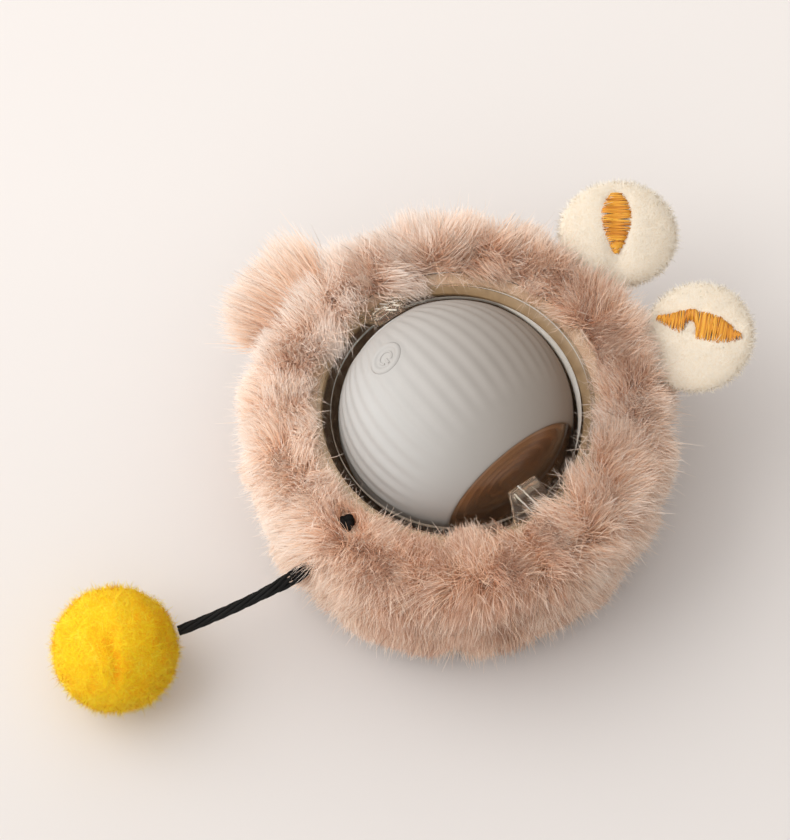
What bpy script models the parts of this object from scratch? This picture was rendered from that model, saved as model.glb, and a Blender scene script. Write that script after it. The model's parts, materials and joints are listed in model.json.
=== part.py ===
"""Self rolling cat ball: a motorised ball in a furry holder with ears, a cord tail and a pompom.

Metres, +Z up. The origin is the centre of the flat underside that stands on the floor, and the
bowl's axis is +Z. The ball is modelled about its own centre with its pole axis as local +Z and its
power button over local +X, and an empty turns it to where it lies in the bowl.
"""
import math

import bmesh
import bpy
from mathutils import Matrix, Vector

# Values that every piece shares
GAP = 0.0003
OVERRUN = 0.0010
MERGE = 0.00001
SHARP_ANGLE = math.radians(38)

# Ball: silicone skin over two plastic half shells
BALL_RADIUS = 0.0215
BALL_POLE_AZIMUTH = math.radians(-50.7)
BALL_TURN = math.radians(-156.9)
SKIN_WALL = 0.0015
SKIN_LIP = 0.0006
SHELL_WALL = 0.0014
WINDOW_HALF_ANGLE = math.radians(42.5)
PORT_HALF_ANGLE = math.radians(28.0)
SHELL_LEDGE_ANGLE = math.radians(2.5)
SKIN_INNER = BALL_RADIUS - SKIN_WALL
SHELL_OUTER = SKIN_INNER - GAP
SHELL_INNER = SHELL_OUTER - SHELL_WALL

# Everything in the shells is drawn for shells of this inner radius, and grows or shrinks with them
DRIVE_ROOM = 0.0183
FIT = SHELL_INNER / DRIVE_ROOM

# Ribs along the skin's meridians, with their share of height at each angle from the window
RIB_COUNT = 46
RIB_DEPTH = 0.00035
RIB_RISE_ANGLES = (math.radians(52.0), math.radians(60.0))
RIB_FALL_ANGLES = (math.radians(138.0), math.radians(148.0))

# Window lens and port cap, flush with the skin
LENS_WALL = 0.0012
PORT_SLOT_WIDTH = 0.0096 * FIT
PORT_SLOT_HEIGHT = 0.0039 * FIT

# Power button on the skin
BUTTON_ANGLE = math.radians(123.5)
BUTTON_RADIUS = 0.0034 * FIT
BUTTON_RIM_WIDTH = 0.0006 * FIT
BUTTON_RIM_RISE = 0.00020
BUTTON_TRAVEL = 0.0005
BUTTON_STEM_RADIUS = 0.0022 * FIT
SYMBOL_RADIUS = 0.00135 * FIT
SYMBOL_TUBE = 0.00018 * FIT
SYMBOL_GAP_ANGLE = math.radians(70)
# Shares of the symbol's radius that its bar runs through
SYMBOL_BAR_SHARES = (0.25, 0.75, 1.25)

# Switch under the button, on a small board that closes a tube of the far shell
SWITCH_TUBE_WALL = 0.0010 * FIT
SWITCH_TUBE_DEPTH = 0.0024 * FIT
SWITCH_BOARD_RADIUS = 0.0034 * FIT
SWITCH_BOARD_THICKNESS = 0.0008 * FIT
SWITCH_SIDE = 0.0030 * FIT
SWITCH_HEIGHT = 0.0011 * FIT
PLUNGER_RADIUS = 0.0008 * FIT
SWITCH_BODY_SHARE = 0.70

# Clear bowl with a flat flange
FUR_UNDER_BOWL = 0.0051
BALL_PLAY = 0.0045
BOWL_WALL = 0.0016
BOWL_RIM_DROP = 0.0016
CORD_LEDGE = 0.0050
FLANGE_THICKNESS = 0.0018
BOWL_STEPS = 36

# Clear ring snapped into the bowl, with two tongues over the ball's shoulder
RING_SKIRT_DEPTH = 0.0024
RING_WALL = 0.0008
RING_REACH = 0.0015
RING_FLANGE_THICKNESS = 0.0012
TONGUE_COUNT = 2
TONGUE_AZIMUTH = math.radians(-55.0)
TONGUE_CLEARANCE = 0.00054
TONGUE_RISE = 0.0049
TONGUE_ROOT_WIDTH = 0.0110
TONGUE_TIP_WIDTH = 0.0058
TONGUE_THICKNESS = 0.0013
TONGUE_STEP_LENGTH = 0.0018
TONGUE_STEP_HEIGHT = 0.0009
TONGUE_STEP_INSET = 0.0004

# Fur cover: a bun round the bowl, with a tuft
FUR_DEPTH = 0.0059
FUR_RISE = 0.0054
FUR_FOOT_INSET = 0.0030
HEM_CLEARANCE = 0.0004
HEM_FLARE_SHARE = 0.5
TUFT_AZIMUTH = math.radians(142.0)
TUFT_INSET = 0.0005
TUFT_DROP = 0.0108
TUFT_SIZE = (0.0095, 0.0140, 0.0090)
# Shares of (way from foot to full radius, height of the bun) down its outer side
FUR_SIDE_SHARES = (
    (0.39, 0.99), (0.64, 0.955), (0.81, 0.885), (0.92, 0.79), (0.98, 0.66),
    (1.00, 0.50), (0.955, 0.33), (0.83, 0.19), (0.58, 0.09), (0.27, 0.025),
)

# Tail: knot on the flange, cord through it, pompom on the floor
KNOT_AZIMUTH = math.radians(228.5)
KNOT_RADIUS = 0.0018
KNOT_HEIGHT = 0.0027
CORD_DIAMETER = 0.0020
CORD_HOLE_CLEARANCE = 0.0004
POMPOM_RADIUS = 0.0117
POMPOM_LIFT = 0.00005
POMPOM_OFFSET = (-0.0424, -0.0164)
TAIL_SWING = math.radians(10.0)
SLOT_CLEARANCE = 0.0005
# Its points: offset from the knot, and height as a share of the bowl's rim
CORD_WAY = (
    (0.0, 0.0, 0.9904),
    (-0.0001, -0.0001, 0.9172),
    (-0.0012, -0.0007, 0.8280),
    (-0.0044, -0.0025, 0.7293),
    (-0.0104, -0.0057, 0.6274),
    (-0.0176, -0.0087, 0.5414),
    (-0.0246, -0.0112, 0.4682),
    (-0.0308, -0.0132, 0.4140),
)
CORD_STEPS = 3

# Ears and their embroidery: azimuth of the centre, way the ear points
EAR_LENGTH = 0.0212
EAR_WIDTH = 0.0228
EAR_THICKNESS = 0.0086
EAR_TILT = math.radians(8.0)
EAR_REACH = 0.0086
EAR_DROP = 0.0062
EAR_ANGLES = {
    "left_ear": (math.radians(50.1), math.radians(88.0)),
    "right_ear": (math.radians(18.9), math.radians(-10.0)),
}
EMBROIDERY_LENGTHS = {"left_ear": 0.0118, "right_ear": 0.0150}
EMBROIDERY_WIDTH = 0.0056
EMBROIDERY_THICKNESS = 0.0006
EMBROIDERY_SHIFTS = {"left_ear": (0.0014, 0.0004), "right_ear": (-0.0002, 0.0016)}
# Shares of the width along an almond, from the blunt outer end to the point at the body
ALMOND_SHARES = (0.34, 0.78, 0.97, 1.00, 0.93, 0.76, 0.52, 0.20)

# Chassis plate across the ball, above its centre
PLATE_HEIGHT = 0.0045 * FIT
PLATE_THICKNESS = 0.0012 * FIT
PLATE_SCREW_DISTANCE = 0.0143 * FIT
PLATE_SCREW_ANGLES = (math.radians(75), math.radians(195), math.radians(315))
BOSS_RADIUS = 0.0017 * FIT
BOSS_LENGTH = 0.0044 * FIT
POST_DISTANCE = 0.0098 * FIT
POST_ANGLES = (math.radians(100), math.radians(255), math.radians(-10))
POST_RADIUS = 0.0013 * FIT

# Screws; a bore takes up this share of its boss
BORE_DEPTH_SHARE = 0.8
SCREW_RADIUS = 0.0006 * FIT
SCREW_HEAD_RADIUS = 0.0015 * FIT
SCREW_HEAD_HEIGHT = 0.0008 * FIT
SCREW_LENGTH = 0.0046 * FIT
SMALL_SCREW_RADIUS = 0.0004 * FIT
SMALL_HEAD_RADIUS = 0.0011 * FIT
SMALL_HEAD_HEIGHT = 0.0007 * FIT
SMALL_SCREW_LENGTH = 0.0034 * FIT
DRIVE_SLOT_WIDTH = 0.0004 * FIT
DRIVE_SLOT_DEPTH = 0.0004 * FIT
# Shares of a head: its top's radius, the height where it starts to round, its slot's length
HEAD_TOP_SHARE = 0.8
HEAD_SIDE_SHARE = 0.6
DRIVE_SLOT_SHARE = 1.3

# Gear train: motor pinion, double idler, weight gear
GEAR_MODULE = 0.0004 * FIT
WEIGHT_GEAR_TEETH = 36
IDLER_PINION_TEETH = 10
IDLER_WHEEL_TEETH = 24
MOTOR_PINION_TEETH = 8
# A tooth's reach beyond and below its pitch circle in modules, and its width at root and tip as
# shares of the pitch
TOOTH_REACH_SHARES = (0.80, 1.15)
TOOTH_WIDTH_SHARES = (0.56, 0.22)
MOTOR_FROM_AXLE = 0.0076 * FIT
WEIGHT_GEAR_THICKNESS = 0.0014 * FIT
IDLER_WHEEL_THICKNESS = 0.0012 * FIT
IDLER_BELOW_PLATE = 0.0010 * FIT
PINION_MARGIN = 0.0001
IDLER_PIN_RADIUS = 0.0006 * FIT
IDLER_BOSS_RADIUS = 0.0015 * FIT

# Swinging weight on the main axle
AXLE_RADIUS = 0.0010 * FIT
AXLE_HEAD_RADIUS = 0.0022 * FIT
AXLE_HEAD_HEIGHT = 0.0011 * FIT
AXLE_END = 0.0013 * FIT
CLIP_WIDTH = 0.0011 * FIT
CLIP_THICKNESS = 0.0005 * FIT
BUSH_WALL = 0.0007 * FIT
WEIGHT_RADIUS = 0.0158 * FIT
WEIGHT_HUB_RADIUS = 0.0035 * FIT
WEIGHT_TOP = -0.0005 * FIT
WEIGHT_HEIGHT = 0.0037 * FIT
WEIGHT_HUB_RISE = 0.0005 * FIT
WEIGHT_SPREAD = math.radians(155)
WEIGHT_AZIMUTH = -BALL_TURN
WEIGHT_EDGE = 0.0003 * FIT

# Motor
MOTOR_RADIUS = 0.0030 * FIT
MOTOR_LENGTH = 0.0070 * FIT
MOTOR_BOSS_RADIUS = 0.0014 * FIT
MOTOR_SHAFT_RADIUS = 0.0004 * FIT
MOTOR_SHAFT_DEPTH = 0.0020 * FIT
MOTOR_CAP_RADIUS = 0.0026 * FIT
MOTOR_CAP_THICKNESS = 0.0005 * FIT
MOTOR_HOLE_CLEARANCE = 0.0003

# Battery and its leads
BATTERY_SIZE = (0.0090 * FIT, 0.0150 * FIT, 0.0042 * FIT)
BATTERY_OFFSET = 0.0072 * FIT
BATTERY_EDGE = 0.0006 * FIT
LEAD_RADIUS = 0.0004 * FIT
LEAD_SPACING = 0.0012 * FIT
LEAD_BULGE = 0.0016 * FIT
# Shares of (the bulge, the battery's height) that a lead runs through
LEAD_SHARES = ((0.0, 0.55), (0.7, 0.60), (1.0, 0.85))

# Circuit board with its chip and lamps
CIRCUIT_HEIGHT = 0.0110 * FIT
BOARD_THICKNESS = 0.0008 * FIT
CHIP_SIDE = 0.0040 * FIT
CHIP_HEIGHT = 0.0010 * FIT
LAMP_SIDE = 0.0030 * FIT
LAMP_HEIGHT = 0.0011 * FIT
LAMP_DISTANCE = 0.0065 * FIT
LAMP_ANGLES = (math.radians(150), math.radians(210), math.radians(270), math.radians(330))

# Stepped reflector behind the window
REFLECTOR_RADIUS = 0.0112 * FIT
REFLECTOR_FOOT_RADIUS = 0.0124 * FIT
REFLECTOR_WALL = 0.0007 * FIT
REFLECTOR_HEIGHT = 0.0028 * FIT
REFLECTOR_SKIRT_SHARE = 0.64
REFLECTOR_STEP = 0.0005 * FIT
# Shares of the reflector's radius where a ring begins and ends
REFLECTOR_RING_SHARES = ((0.0, 0.20), (0.42, 0.48), (0.66, 0.72), (0.90, 0.97))

# Charge board and socket at the far pole
CHARGE_BOARD_HEIGHT = -0.0130 * FIT
CHARGE_BOARD_MARGIN = 0.0012 * FIT
CHARGE_POST_DISTANCE = 0.0095 * FIT
CHARGE_POST_ANGLES = (math.radians(90), math.radians(210), math.radians(330))
CHARGE_POST_RADIUS = 0.0013 * FIT
CHARGE_POST_LENGTH = 0.0027 * FIT
CHARGE_SCREW_SHARE = 0.7
SOCKET_WIDTH = 0.0089 * FIT
SOCKET_HEIGHT = 0.0032 * FIT
SOCKET_WALL = 0.0003 * FIT
SOCKET_LENGTH = 0.0071 * FIT
SOCKET_FLOOR = 0.0010 * FIT
SOCKET_TONGUE = (0.0066 * FIT, 0.0007 * FIT, 0.0052 * FIT)
CHARGE_LEAD_RADIUS = 0.00045 * FIT
CHARGE_LEAD_PATH_RADIUS = 0.0172 * FIT
CHARGE_LEAD_ANGLE = math.radians(-90)
CHARGE_LEAD_SPAN = (math.radians(57), math.radians(129))
CHARGE_LEAD_END = 0.0014 * FIT

# Sizes worked out from those above
LENS_INNER = SHELL_OUTER + GAP
LENS_OUTER = LENS_INNER + LENS_WALL
BOWL_INNER_RADIUS = BALL_RADIUS + BALL_PLAY
BOWL_CENTRE_Z = FUR_UNDER_BOWL + GAP + BOWL_WALL + BOWL_INNER_RADIUS
BOWL_OUTER_RADIUS = BOWL_INNER_RADIUS + BOWL_WALL
RIM_Z = BOWL_CENTRE_Z - BOWL_RIM_DROP
BALL_HEIGHT = BOWL_CENTRE_Z - BOWL_INNER_RADIUS + GAP + BALL_RADIUS
RING_BOTTOM_Z = RIM_Z + GAP - RING_SKIRT_DEPTH
RING_TOP_Z = RIM_Z + GAP + RING_FLANGE_THICKNESS
RING_FLANGE_RADIUS = BOWL_INNER_RADIUS + RING_REACH
FLANGE_RADIUS = RING_FLANGE_RADIUS + CORD_LEDGE
TONGUE_TIP_Z = RING_TOP_Z + TONGUE_RISE - TONGUE_THICKNESS / 2
TONGUE_TIP_RADIUS = math.sqrt((BALL_RADIUS + TONGUE_CLEARANCE) ** 2 - (TONGUE_TIP_Z - BALL_HEIGHT) ** 2)
HEM_RADIUS = RING_FLANGE_RADIUS + HEM_CLEARANCE
FUR_RADIUS = FLANGE_RADIUS + FUR_DEPTH
FUR_FOOT_RADIUS = FLANGE_RADIUS - FUR_FOOT_INSET
FUR_TOP = RIM_Z + FUR_RISE
KNOT_DISTANCE = RING_FLANGE_RADIUS + CORD_LEDGE / 2
KNOT_PLACE = (KNOT_DISTANCE * math.cos(KNOT_AZIMUTH), KNOT_DISTANCE * math.sin(KNOT_AZIMUTH))
CORD_POINTS = tuple((KNOT_PLACE[0] + x, KNOT_PLACE[1] + y, RIM_Z * up) for x, y, up in CORD_WAY)
POMPOM_CENTRE = (
    KNOT_PLACE[0] + POMPOM_OFFSET[0], KNOT_PLACE[1] + POMPOM_OFFSET[1], POMPOM_RADIUS + POMPOM_LIFT,
)
EAR_DISTANCE = FUR_RADIUS + EAR_REACH
EAR_HEIGHT = FUR_TOP - EAR_DROP
PLATE_TOP = PLATE_HEIGHT + PLATE_THICKNESS
WEIGHT_HUB_TOP = WEIGHT_TOP + WEIGHT_HUB_RISE
WEIGHT_BOTTOM = WEIGHT_TOP - WEIGHT_HEIGHT
WEIGHT_GEAR_Z = WEIGHT_HUB_TOP + GAP
IDLER_WHEEL_TOP = PLATE_HEIGHT - IDLER_BELOW_PLATE
IDLER_WHEEL_Z = IDLER_WHEEL_TOP - IDLER_WHEEL_THICKNESS
IDLER_BOTTOM = WEIGHT_GEAR_Z - 2 * PINION_MARGIN
IDLER_DISTANCE = GEAR_MODULE * (WEIGHT_GEAR_TEETH + IDLER_PINION_TEETH) / 2
MOTOR_FROM_IDLER = GEAR_MODULE * (IDLER_WHEEL_TEETH + MOTOR_PINION_TEETH) / 2
MOTOR_X = (IDLER_DISTANCE ** 2 + MOTOR_FROM_AXLE ** 2 - MOTOR_FROM_IDLER ** 2) / (2 * IDLER_DISTANCE)
MOTOR_Y = math.sqrt(MOTOR_FROM_AXLE ** 2 - MOTOR_X ** 2)
MOTOR_Z = PLATE_TOP + GAP
CIRCUIT_TOP = CIRCUIT_HEIGHT + BOARD_THICKNESS
BUSH_RADIUS = AXLE_RADIUS + GAP + BUSH_WALL


def clear_scene():
    for obj in list(bpy.data.objects):
        bpy.data.objects.remove(obj, do_unlink=True)


def collection(name):
    found = bpy.data.collections.new(name)
    bpy.context.scene.collection.children.link(found)
    return found


clear_scene()
PARTS = collection("self_rolling_cat_ball")
CUTTERS = collection("cutters")

# Finishes: base colour, roughness, metallic
FINISHES = {
    "silicone": ((0.60, 0.58, 0.55), 0.55, 0.0),
    "fur": ((0.53, 0.31, 0.25), 0.95, 0.0),
    "ear_plush": ((0.91, 0.82, 0.63), 0.95, 0.0),
    "embroidery": ((0.87, 0.38, 0.03), 0.45, 0.0),
    "clear_plastic": ((0.90, 0.89, 0.86), 0.08, 0.0),
    "smoked_plastic": ((0.20, 0.15, 0.11), 0.10, 0.0),
    "black_yarn": ((0.012, 0.011, 0.010), 0.85, 0.0),
    "yellow_felt": ((0.95, 0.62, 0.02), 0.95, 0.0),
    "shell_plastic": ((0.72, 0.71, 0.69), 0.45, 0.0),
    "dark_plastic": ((0.10, 0.09, 0.085), 0.45, 0.0),
    "gear_plastic": ((0.86, 0.84, 0.78), 0.40, 0.0),
    "steel": ((0.58, 0.58, 0.58), 0.28, 1.0),
    "zinc": ((0.42, 0.42, 0.44), 0.45, 1.0),
    "brass": ((0.72, 0.52, 0.22), 0.30, 1.0),
    "circuit_green": ((0.03, 0.19, 0.08), 0.50, 0.0),
    "battery_wrap": ((0.06, 0.16, 0.42), 0.40, 0.0),
    "lead_red": ((0.55, 0.02, 0.02), 0.45, 0.0),
    "lead_black": ((0.02, 0.02, 0.02), 0.45, 0.0),
    "lamp_epoxy": ((0.92, 0.88, 0.62), 0.25, 0.0),
}


def finish(name):
    """The material of that name, made the first time it is asked for."""
    material = bpy.data.materials.get(name)
    if material is None:
        colour, roughness, metallic = FINISHES[name]
        material = bpy.data.materials.new(name)
        material.use_nodes = True
        shader = material.node_tree.nodes["Principled BSDF"]
        shader.inputs["Base Color"].default_value = (*colour, 1.0)
        shader.inputs["Roughness"].default_value = roughness
        shader.inputs["Metallic"].default_value = metallic
        material.diffuse_color = (*colour, 1.0)
    return material


def empty(name, parent=None, at=(0, 0, 0), turn=None):
    obj = bpy.data.objects.new(name, None)
    PARTS.objects.link(obj)
    obj.parent = parent
    obj.location = at
    if turn is not None:
        obj.rotation_euler = turn.to_euler()
    return obj


def add(name, bm, look=None, parent=None, at=(0, 0, 0), turn=None):
    """An object from a bmesh: a part when it has a finish, otherwise a cutter."""
    mesh = bpy.data.meshes.new(name)
    bm.to_mesh(mesh)
    bm.free()
    obj = bpy.data.objects.new(name, mesh)
    obj.parent = parent
    obj.location = at
    if turn is not None:
        obj.rotation_euler = turn.to_euler()
    if look is None:
        CUTTERS.objects.link(obj)
        obj.hide_render = True
        obj.display_type = "WIRE"
    else:
        PARTS.objects.link(obj)
        mesh.materials.append(finish(look))
        mesh.shade_smooth()
        mesh.set_sharp_from_angle(angle=SHARP_ANGLE)
    return obj


def combine(obj, tool, operation="DIFFERENCE"):
    modifier = obj.modifiers.new(tool.name, "BOOLEAN")
    modifier.operation = operation
    modifier.object = tool
    return obj


def turned(name, profile, steps, look=None, closed=False, **place):
    """A profile of (radius, height) points turned about local Z; its outer side runs downwards."""
    bm = bmesh.new()
    corners = [bm.verts.new((radius, 0, height)) for radius, height in profile]
    for first, second in zip(corners, corners[1:]):
        bm.edges.new((first, second))
    if closed:
        bm.edges.new((corners[-1], corners[0]))
    obj = add(name, bm, look, **place)
    modifier = obj.modifiers.new("turn", "SCREW")
    modifier.steps = steps
    modifier.render_steps = steps
    modifier.use_merge_vertices = True
    modifier.merge_threshold = MERGE
    return obj


def arc(radius, start, end, count, centre_z=0):
    """Points (radius, height) on a circle, by the angle from +Z."""
    angles = [start + (end - start) * step / count for step in range(count + 1)]
    return [(radius * math.sin(angle), centre_z + radius * math.cos(angle)) for angle in angles]


def polar(distance, angle, height=0):
    return (distance * math.cos(angle), distance * math.sin(angle), height)


def cylinder_bm(radius, bottom, top, segments=24, spots=((0, 0, 0),), tip_radius=None):
    """Upright cylinders between two heights, one over each spot."""
    bm = bmesh.new()
    for spot in spots:
        middle = Matrix.Translation((spot[0], spot[1], (bottom + top) / 2))
        upper = radius if tip_radius is None else tip_radius
        bmesh.ops.create_cone(bm, cap_ends=True, segments=segments, radius1=radius, radius2=upper,
                              depth=top - bottom, matrix=middle)
    return bm


def box_bm(size, centre=(0, 0, 0)):
    bm = bmesh.new()
    stretch = Matrix.Translation(centre) @ Matrix.Diagonal((*size, 1))
    bmesh.ops.create_cube(bm, size=1, matrix=stretch)
    return bm


def prism_bm(outline, bottom, top):
    """A flat outline pulled up between two heights."""
    bm = bmesh.new()
    face = bm.faces.new([bm.verts.new((x, y, bottom)) for x, y in outline])
    pulled = bmesh.ops.extrude_face_region(bm, geom=[face])
    raised = [item for item in pulled["geom"] if isinstance(item, bmesh.types.BMVert)]
    bmesh.ops.translate(bm, vec=(0, 0, top - bottom), verts=raised)
    bmesh.ops.recalc_face_normals(bm, faces=bm.faces)
    return bm


def stadium(width, height, steps=5):
    """Outline of a slot with round ends, its long side along X."""
    end = height / 2
    reach = width / 2 - end
    right = [(reach + end * math.sin(a), -end * math.cos(a))
             for a in (math.pi * step / steps for step in range(steps + 1))]
    return right + [(-x, -y) for x, y in right]


def sphere_bm(sizes, segments, rings, matrix=None):
    bm = bmesh.new()
    stretch = (matrix or Matrix()) @ Matrix.Diagonal((*sizes, 1))
    bmesh.ops.create_uvsphere(bm, u_segments=segments, v_segments=rings, radius=1, matrix=stretch)
    return bm


def smooth_route(points, steps):
    """A smooth curve through the points, with the same number of steps between each pair."""
    ends = [Vector(point) for point in points]
    route = []
    for index in range(len(ends) - 1):
        before = ends[max(index - 1, 0)]
        start, end = ends[index], ends[index + 1]
        after = ends[min(index + 2, len(ends) - 1)]
        leave, arrive = (end - before) / 2, (after - start) / 2
        for step in range(steps):
            t = step / steps
            route.append((2 * t ** 3 - 3 * t ** 2 + 1) * start + (t ** 3 - 2 * t ** 2 + t) * leave
                         + (3 * t ** 2 - 2 * t ** 3) * end + (t ** 3 - t ** 2) * arrive)
    return route + [ends[-1]]


def tube(name, points, radius, look, parent=None, resolution=2):
    curve = bpy.data.curves.new(name, "CURVE")
    curve.dimensions = "3D"
    curve.bevel_depth = radius
    curve.bevel_resolution = resolution
    curve.use_fill_caps = True
    spline = curve.splines.new("POLY")
    spline.points.add(len(points) - 1)
    for point, spot in zip(spline.points, points):
        point.co = (*spot, 1)
    obj = bpy.data.objects.new(name, curve)
    obj.parent = parent
    PARTS.objects.link(obj)
    curve.materials.append(finish(look))
    return obj


def meshed(curve_object, look=None):
    """The curve object as a mesh with its caps joined on, ready for a Boolean."""
    bpy.context.view_layer.update()
    evaluated = curve_object.evaluated_get(bpy.context.evaluated_depsgraph_get())
    mesh = bpy.data.meshes.new_from_object(evaluated)
    bm = bmesh.new()
    bm.from_mesh(mesh)
    bpy.data.meshes.remove(mesh)
    bmesh.ops.remove_doubles(bm, verts=bm.verts, dist=MERGE)
    name, parent = curve_object.name, curve_object.parent
    bpy.data.objects.remove(curve_object)
    return add(name, bm, look, parent=parent)


def screw(name, radius, length, head_radius, head_height, parent, at, down=False):
    """A pan-head screw whose head rests at local zero; its shaft points up, or down."""
    sign = -1 if down else 1
    profile = [
        (0, -head_height), (head_radius * HEAD_TOP_SHARE, -head_height),
        (head_radius, -head_height * HEAD_SIDE_SHARE),
        (head_radius, 0), (radius, 0), (radius, length - radius), (0, length),
    ]
    points = [(x, sign * z) for x, z in profile]
    if not down:
        points.reverse()
    obj = turned(name, points, 12, "steel", parent=parent, at=at)
    reach = sign * -head_height
    slots = box_bm((head_radius * DRIVE_SLOT_SHARE, DRIVE_SLOT_WIDTH, 2 * DRIVE_SLOT_DEPTH), (0, 0, reach))
    combine(obj, add(name + "_slot", slots, parent=parent, at=at))
    return obj


# Frames: the ball's centre, the button's axis and the gear axes
BALL = empty(
    "ball_frame",
    at=(0, 0, BALL_HEIGHT),
    turn=Matrix.Rotation(BALL_POLE_AZIMUTH, 3, "Z")
    @ Matrix.Rotation(math.pi / 2, 3, "Y")
    @ Matrix.Rotation(BALL_TURN, 3, "Z"),
)
BUTTON = empty("button_frame", parent=BALL, turn=Matrix.Rotation(BUTTON_ANGLE, 3, "Y"))
IDLER = empty("idler_frame", parent=BALL, at=(IDLER_DISTANCE, 0, 0))
MOTOR = empty("motor_frame", parent=BALL, at=(MOTOR_X, MOTOR_Y, 0))


def rib_height(angle):
    """How much of a rib stands at this angle from the window's pole, from 0 to 1."""
    rise = (angle - RIB_RISE_ANGLES[0]) / (RIB_RISE_ANGLES[1] - RIB_RISE_ANGLES[0])
    fall = (RIB_FALL_ANGLES[1] - angle) / (RIB_FALL_ANGLES[1] - RIB_FALL_ANGLES[0])
    return max(0, min(1, rise, fall))


def silicone_skin():
    """Soft skin with meridian ribs, open over the window and over the port cap."""
    first = WINDOW_HALF_ANGLE + SKIN_LIP / BALL_RADIUS
    last = math.pi - PORT_HALF_ANGLE - SKIN_LIP / BALL_RADIUS
    outer = arc(BALL_RADIUS, first, last, 8)
    inner = arc(SKIN_INNER, math.pi - PORT_HALF_ANGLE, WINDOW_HALF_ANGLE, 6)
    lip = arc(BALL_RADIUS - SKIN_LIP, math.pi - PORT_HALF_ANGLE, WINDOW_HALF_ANGLE, 1)
    profile = outer + lip[:1] + inner + lip[1:]
    bm = bmesh.new()
    corners = [bm.verts.new((radius, 0, height)) for radius, height in profile]
    ring = [bm.edges.new((corners[i - 1], corners[i])) for i in range(len(corners))]
    bmesh.ops.spin(bm, geom=corners + ring, axis=(0, 0, 1), cent=(0, 0, 0), angle=math.tau,
                   steps=2 * RIB_COUNT, use_merge=True)
    bmesh.ops.remove_doubles(bm, verts=bm.verts, dist=MERGE)
    bmesh.ops.recalc_face_normals(bm, faces=bm.faces)
    for vert in bm.verts:
        column = round(math.atan2(vert.co.y, vert.co.x) / math.pi * RIB_COUNT)
        if vert.co.length > BALL_RADIUS - SKIN_LIP / 2 and column % 2:
            angle = vert.co.angle(Vector((0, 0, 1)))
            vert.co *= 1 - RIB_DEPTH * rib_height(angle) / BALL_RADIUS
    skin = add("silicone_skin", bm, "silicone", parent=BALL)
    hole = cylinder_bm(BUTTON_RADIUS + GAP, SKIN_INNER - OVERRUN, BALL_RADIUS + OVERRUN)
    return combine(skin, add("skin_button_hole", hole, parent=BUTTON))


def half_shell(name, start, end):
    """One half of the hard shell: a thick band of a sphere."""
    profile = arc(SHELL_OUTER, start, end, 6) + arc(SHELL_INNER, end, start, 5)
    return turned(name, profile, 24, "shell_plastic", closed=True, parent=BALL)


def near_shell():
    seam = math.pi / 2 - GAP / 2 / SHELL_OUTER
    shell = half_shell("near_shell", WINDOW_HALF_ANGLE - SHELL_LEDGE_ANGLE, seam)
    spots = [polar(PLATE_SCREW_DISTANCE, angle) for angle in PLATE_SCREW_ANGLES]
    bottom = PLATE_TOP + GAP
    bosses = cylinder_bm(BOSS_RADIUS, bottom, bottom + BOSS_LENGTH, 12, spots)
    combine(shell, add("near_shell_bosses", bosses, parent=BALL), "UNION")
    depth = BOSS_LENGTH * BORE_DEPTH_SHARE
    bores = cylinder_bm(SCREW_RADIUS + GAP, bottom - OVERRUN, bottom + depth, 10, spots)
    return combine(shell, add("near_shell_bores", bores, parent=BALL))


def far_shell():
    seam = math.pi / 2 + GAP / 2 / SHELL_OUTER
    shell = half_shell("far_shell", seam, math.pi - PORT_HALF_ANGLE + SHELL_LEDGE_ANGLE)
    spots = [polar(CHARGE_POST_DISTANCE, angle) for angle in CHARGE_POST_ANGLES]
    top = CHARGE_BOARD_HEIGHT - GAP
    posts = cylinder_bm(CHARGE_POST_RADIUS, top - CHARGE_POST_LENGTH, top, 12, spots)
    combine(shell, add("far_shell_posts", posts, parent=BALL), "UNION")
    tube_end = SHELL_INNER - SWITCH_TUBE_DEPTH
    tube_radius = BUTTON_STEM_RADIUS + GAP + SWITCH_TUBE_WALL
    switch_tube = cylinder_bm(tube_radius, tube_end, SHELL_INNER + SHELL_WALL / 2, 20)
    combine(shell, add("far_shell_switch_tube", switch_tube, parent=BUTTON), "UNION")
    depth = CHARGE_POST_LENGTH * BORE_DEPTH_SHARE
    bores = cylinder_bm(SMALL_SCREW_RADIUS + GAP, top - depth, top + OVERRUN, 10, spots)
    combine(shell, add("far_shell_bores", bores, parent=BALL))
    stem_hole = cylinder_bm(BUTTON_STEM_RADIUS + GAP, tube_end - OVERRUN, SHELL_OUTER + OVERRUN, 20)
    return combine(shell, add("far_shell_stem_hole", stem_hole, parent=BUTTON))


def window_lens():
    edge = WINDOW_HALF_ANGLE - GAP / LENS_OUTER
    profile = arc(LENS_OUTER, 0, edge, 6) + arc(LENS_INNER, edge, 0, 5)
    return turned("window_lens", profile, 32, "smoked_plastic", parent=BALL)


def port_cap():
    edge = math.pi - PORT_HALF_ANGLE + GAP / LENS_OUTER
    profile = arc(LENS_INNER, math.pi, edge, 4) + arc(LENS_OUTER, edge, math.pi, 5)
    cap = turned("port_cap", profile, 24, "silicone", parent=BALL)
    slot = prism_bm(stadium(PORT_SLOT_WIDTH, PORT_SLOT_HEIGHT), -BALL_RADIUS - OVERRUN,
                    -SHELL_INNER)
    return combine(cap, add("port_slot", slot, parent=BALL))


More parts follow.
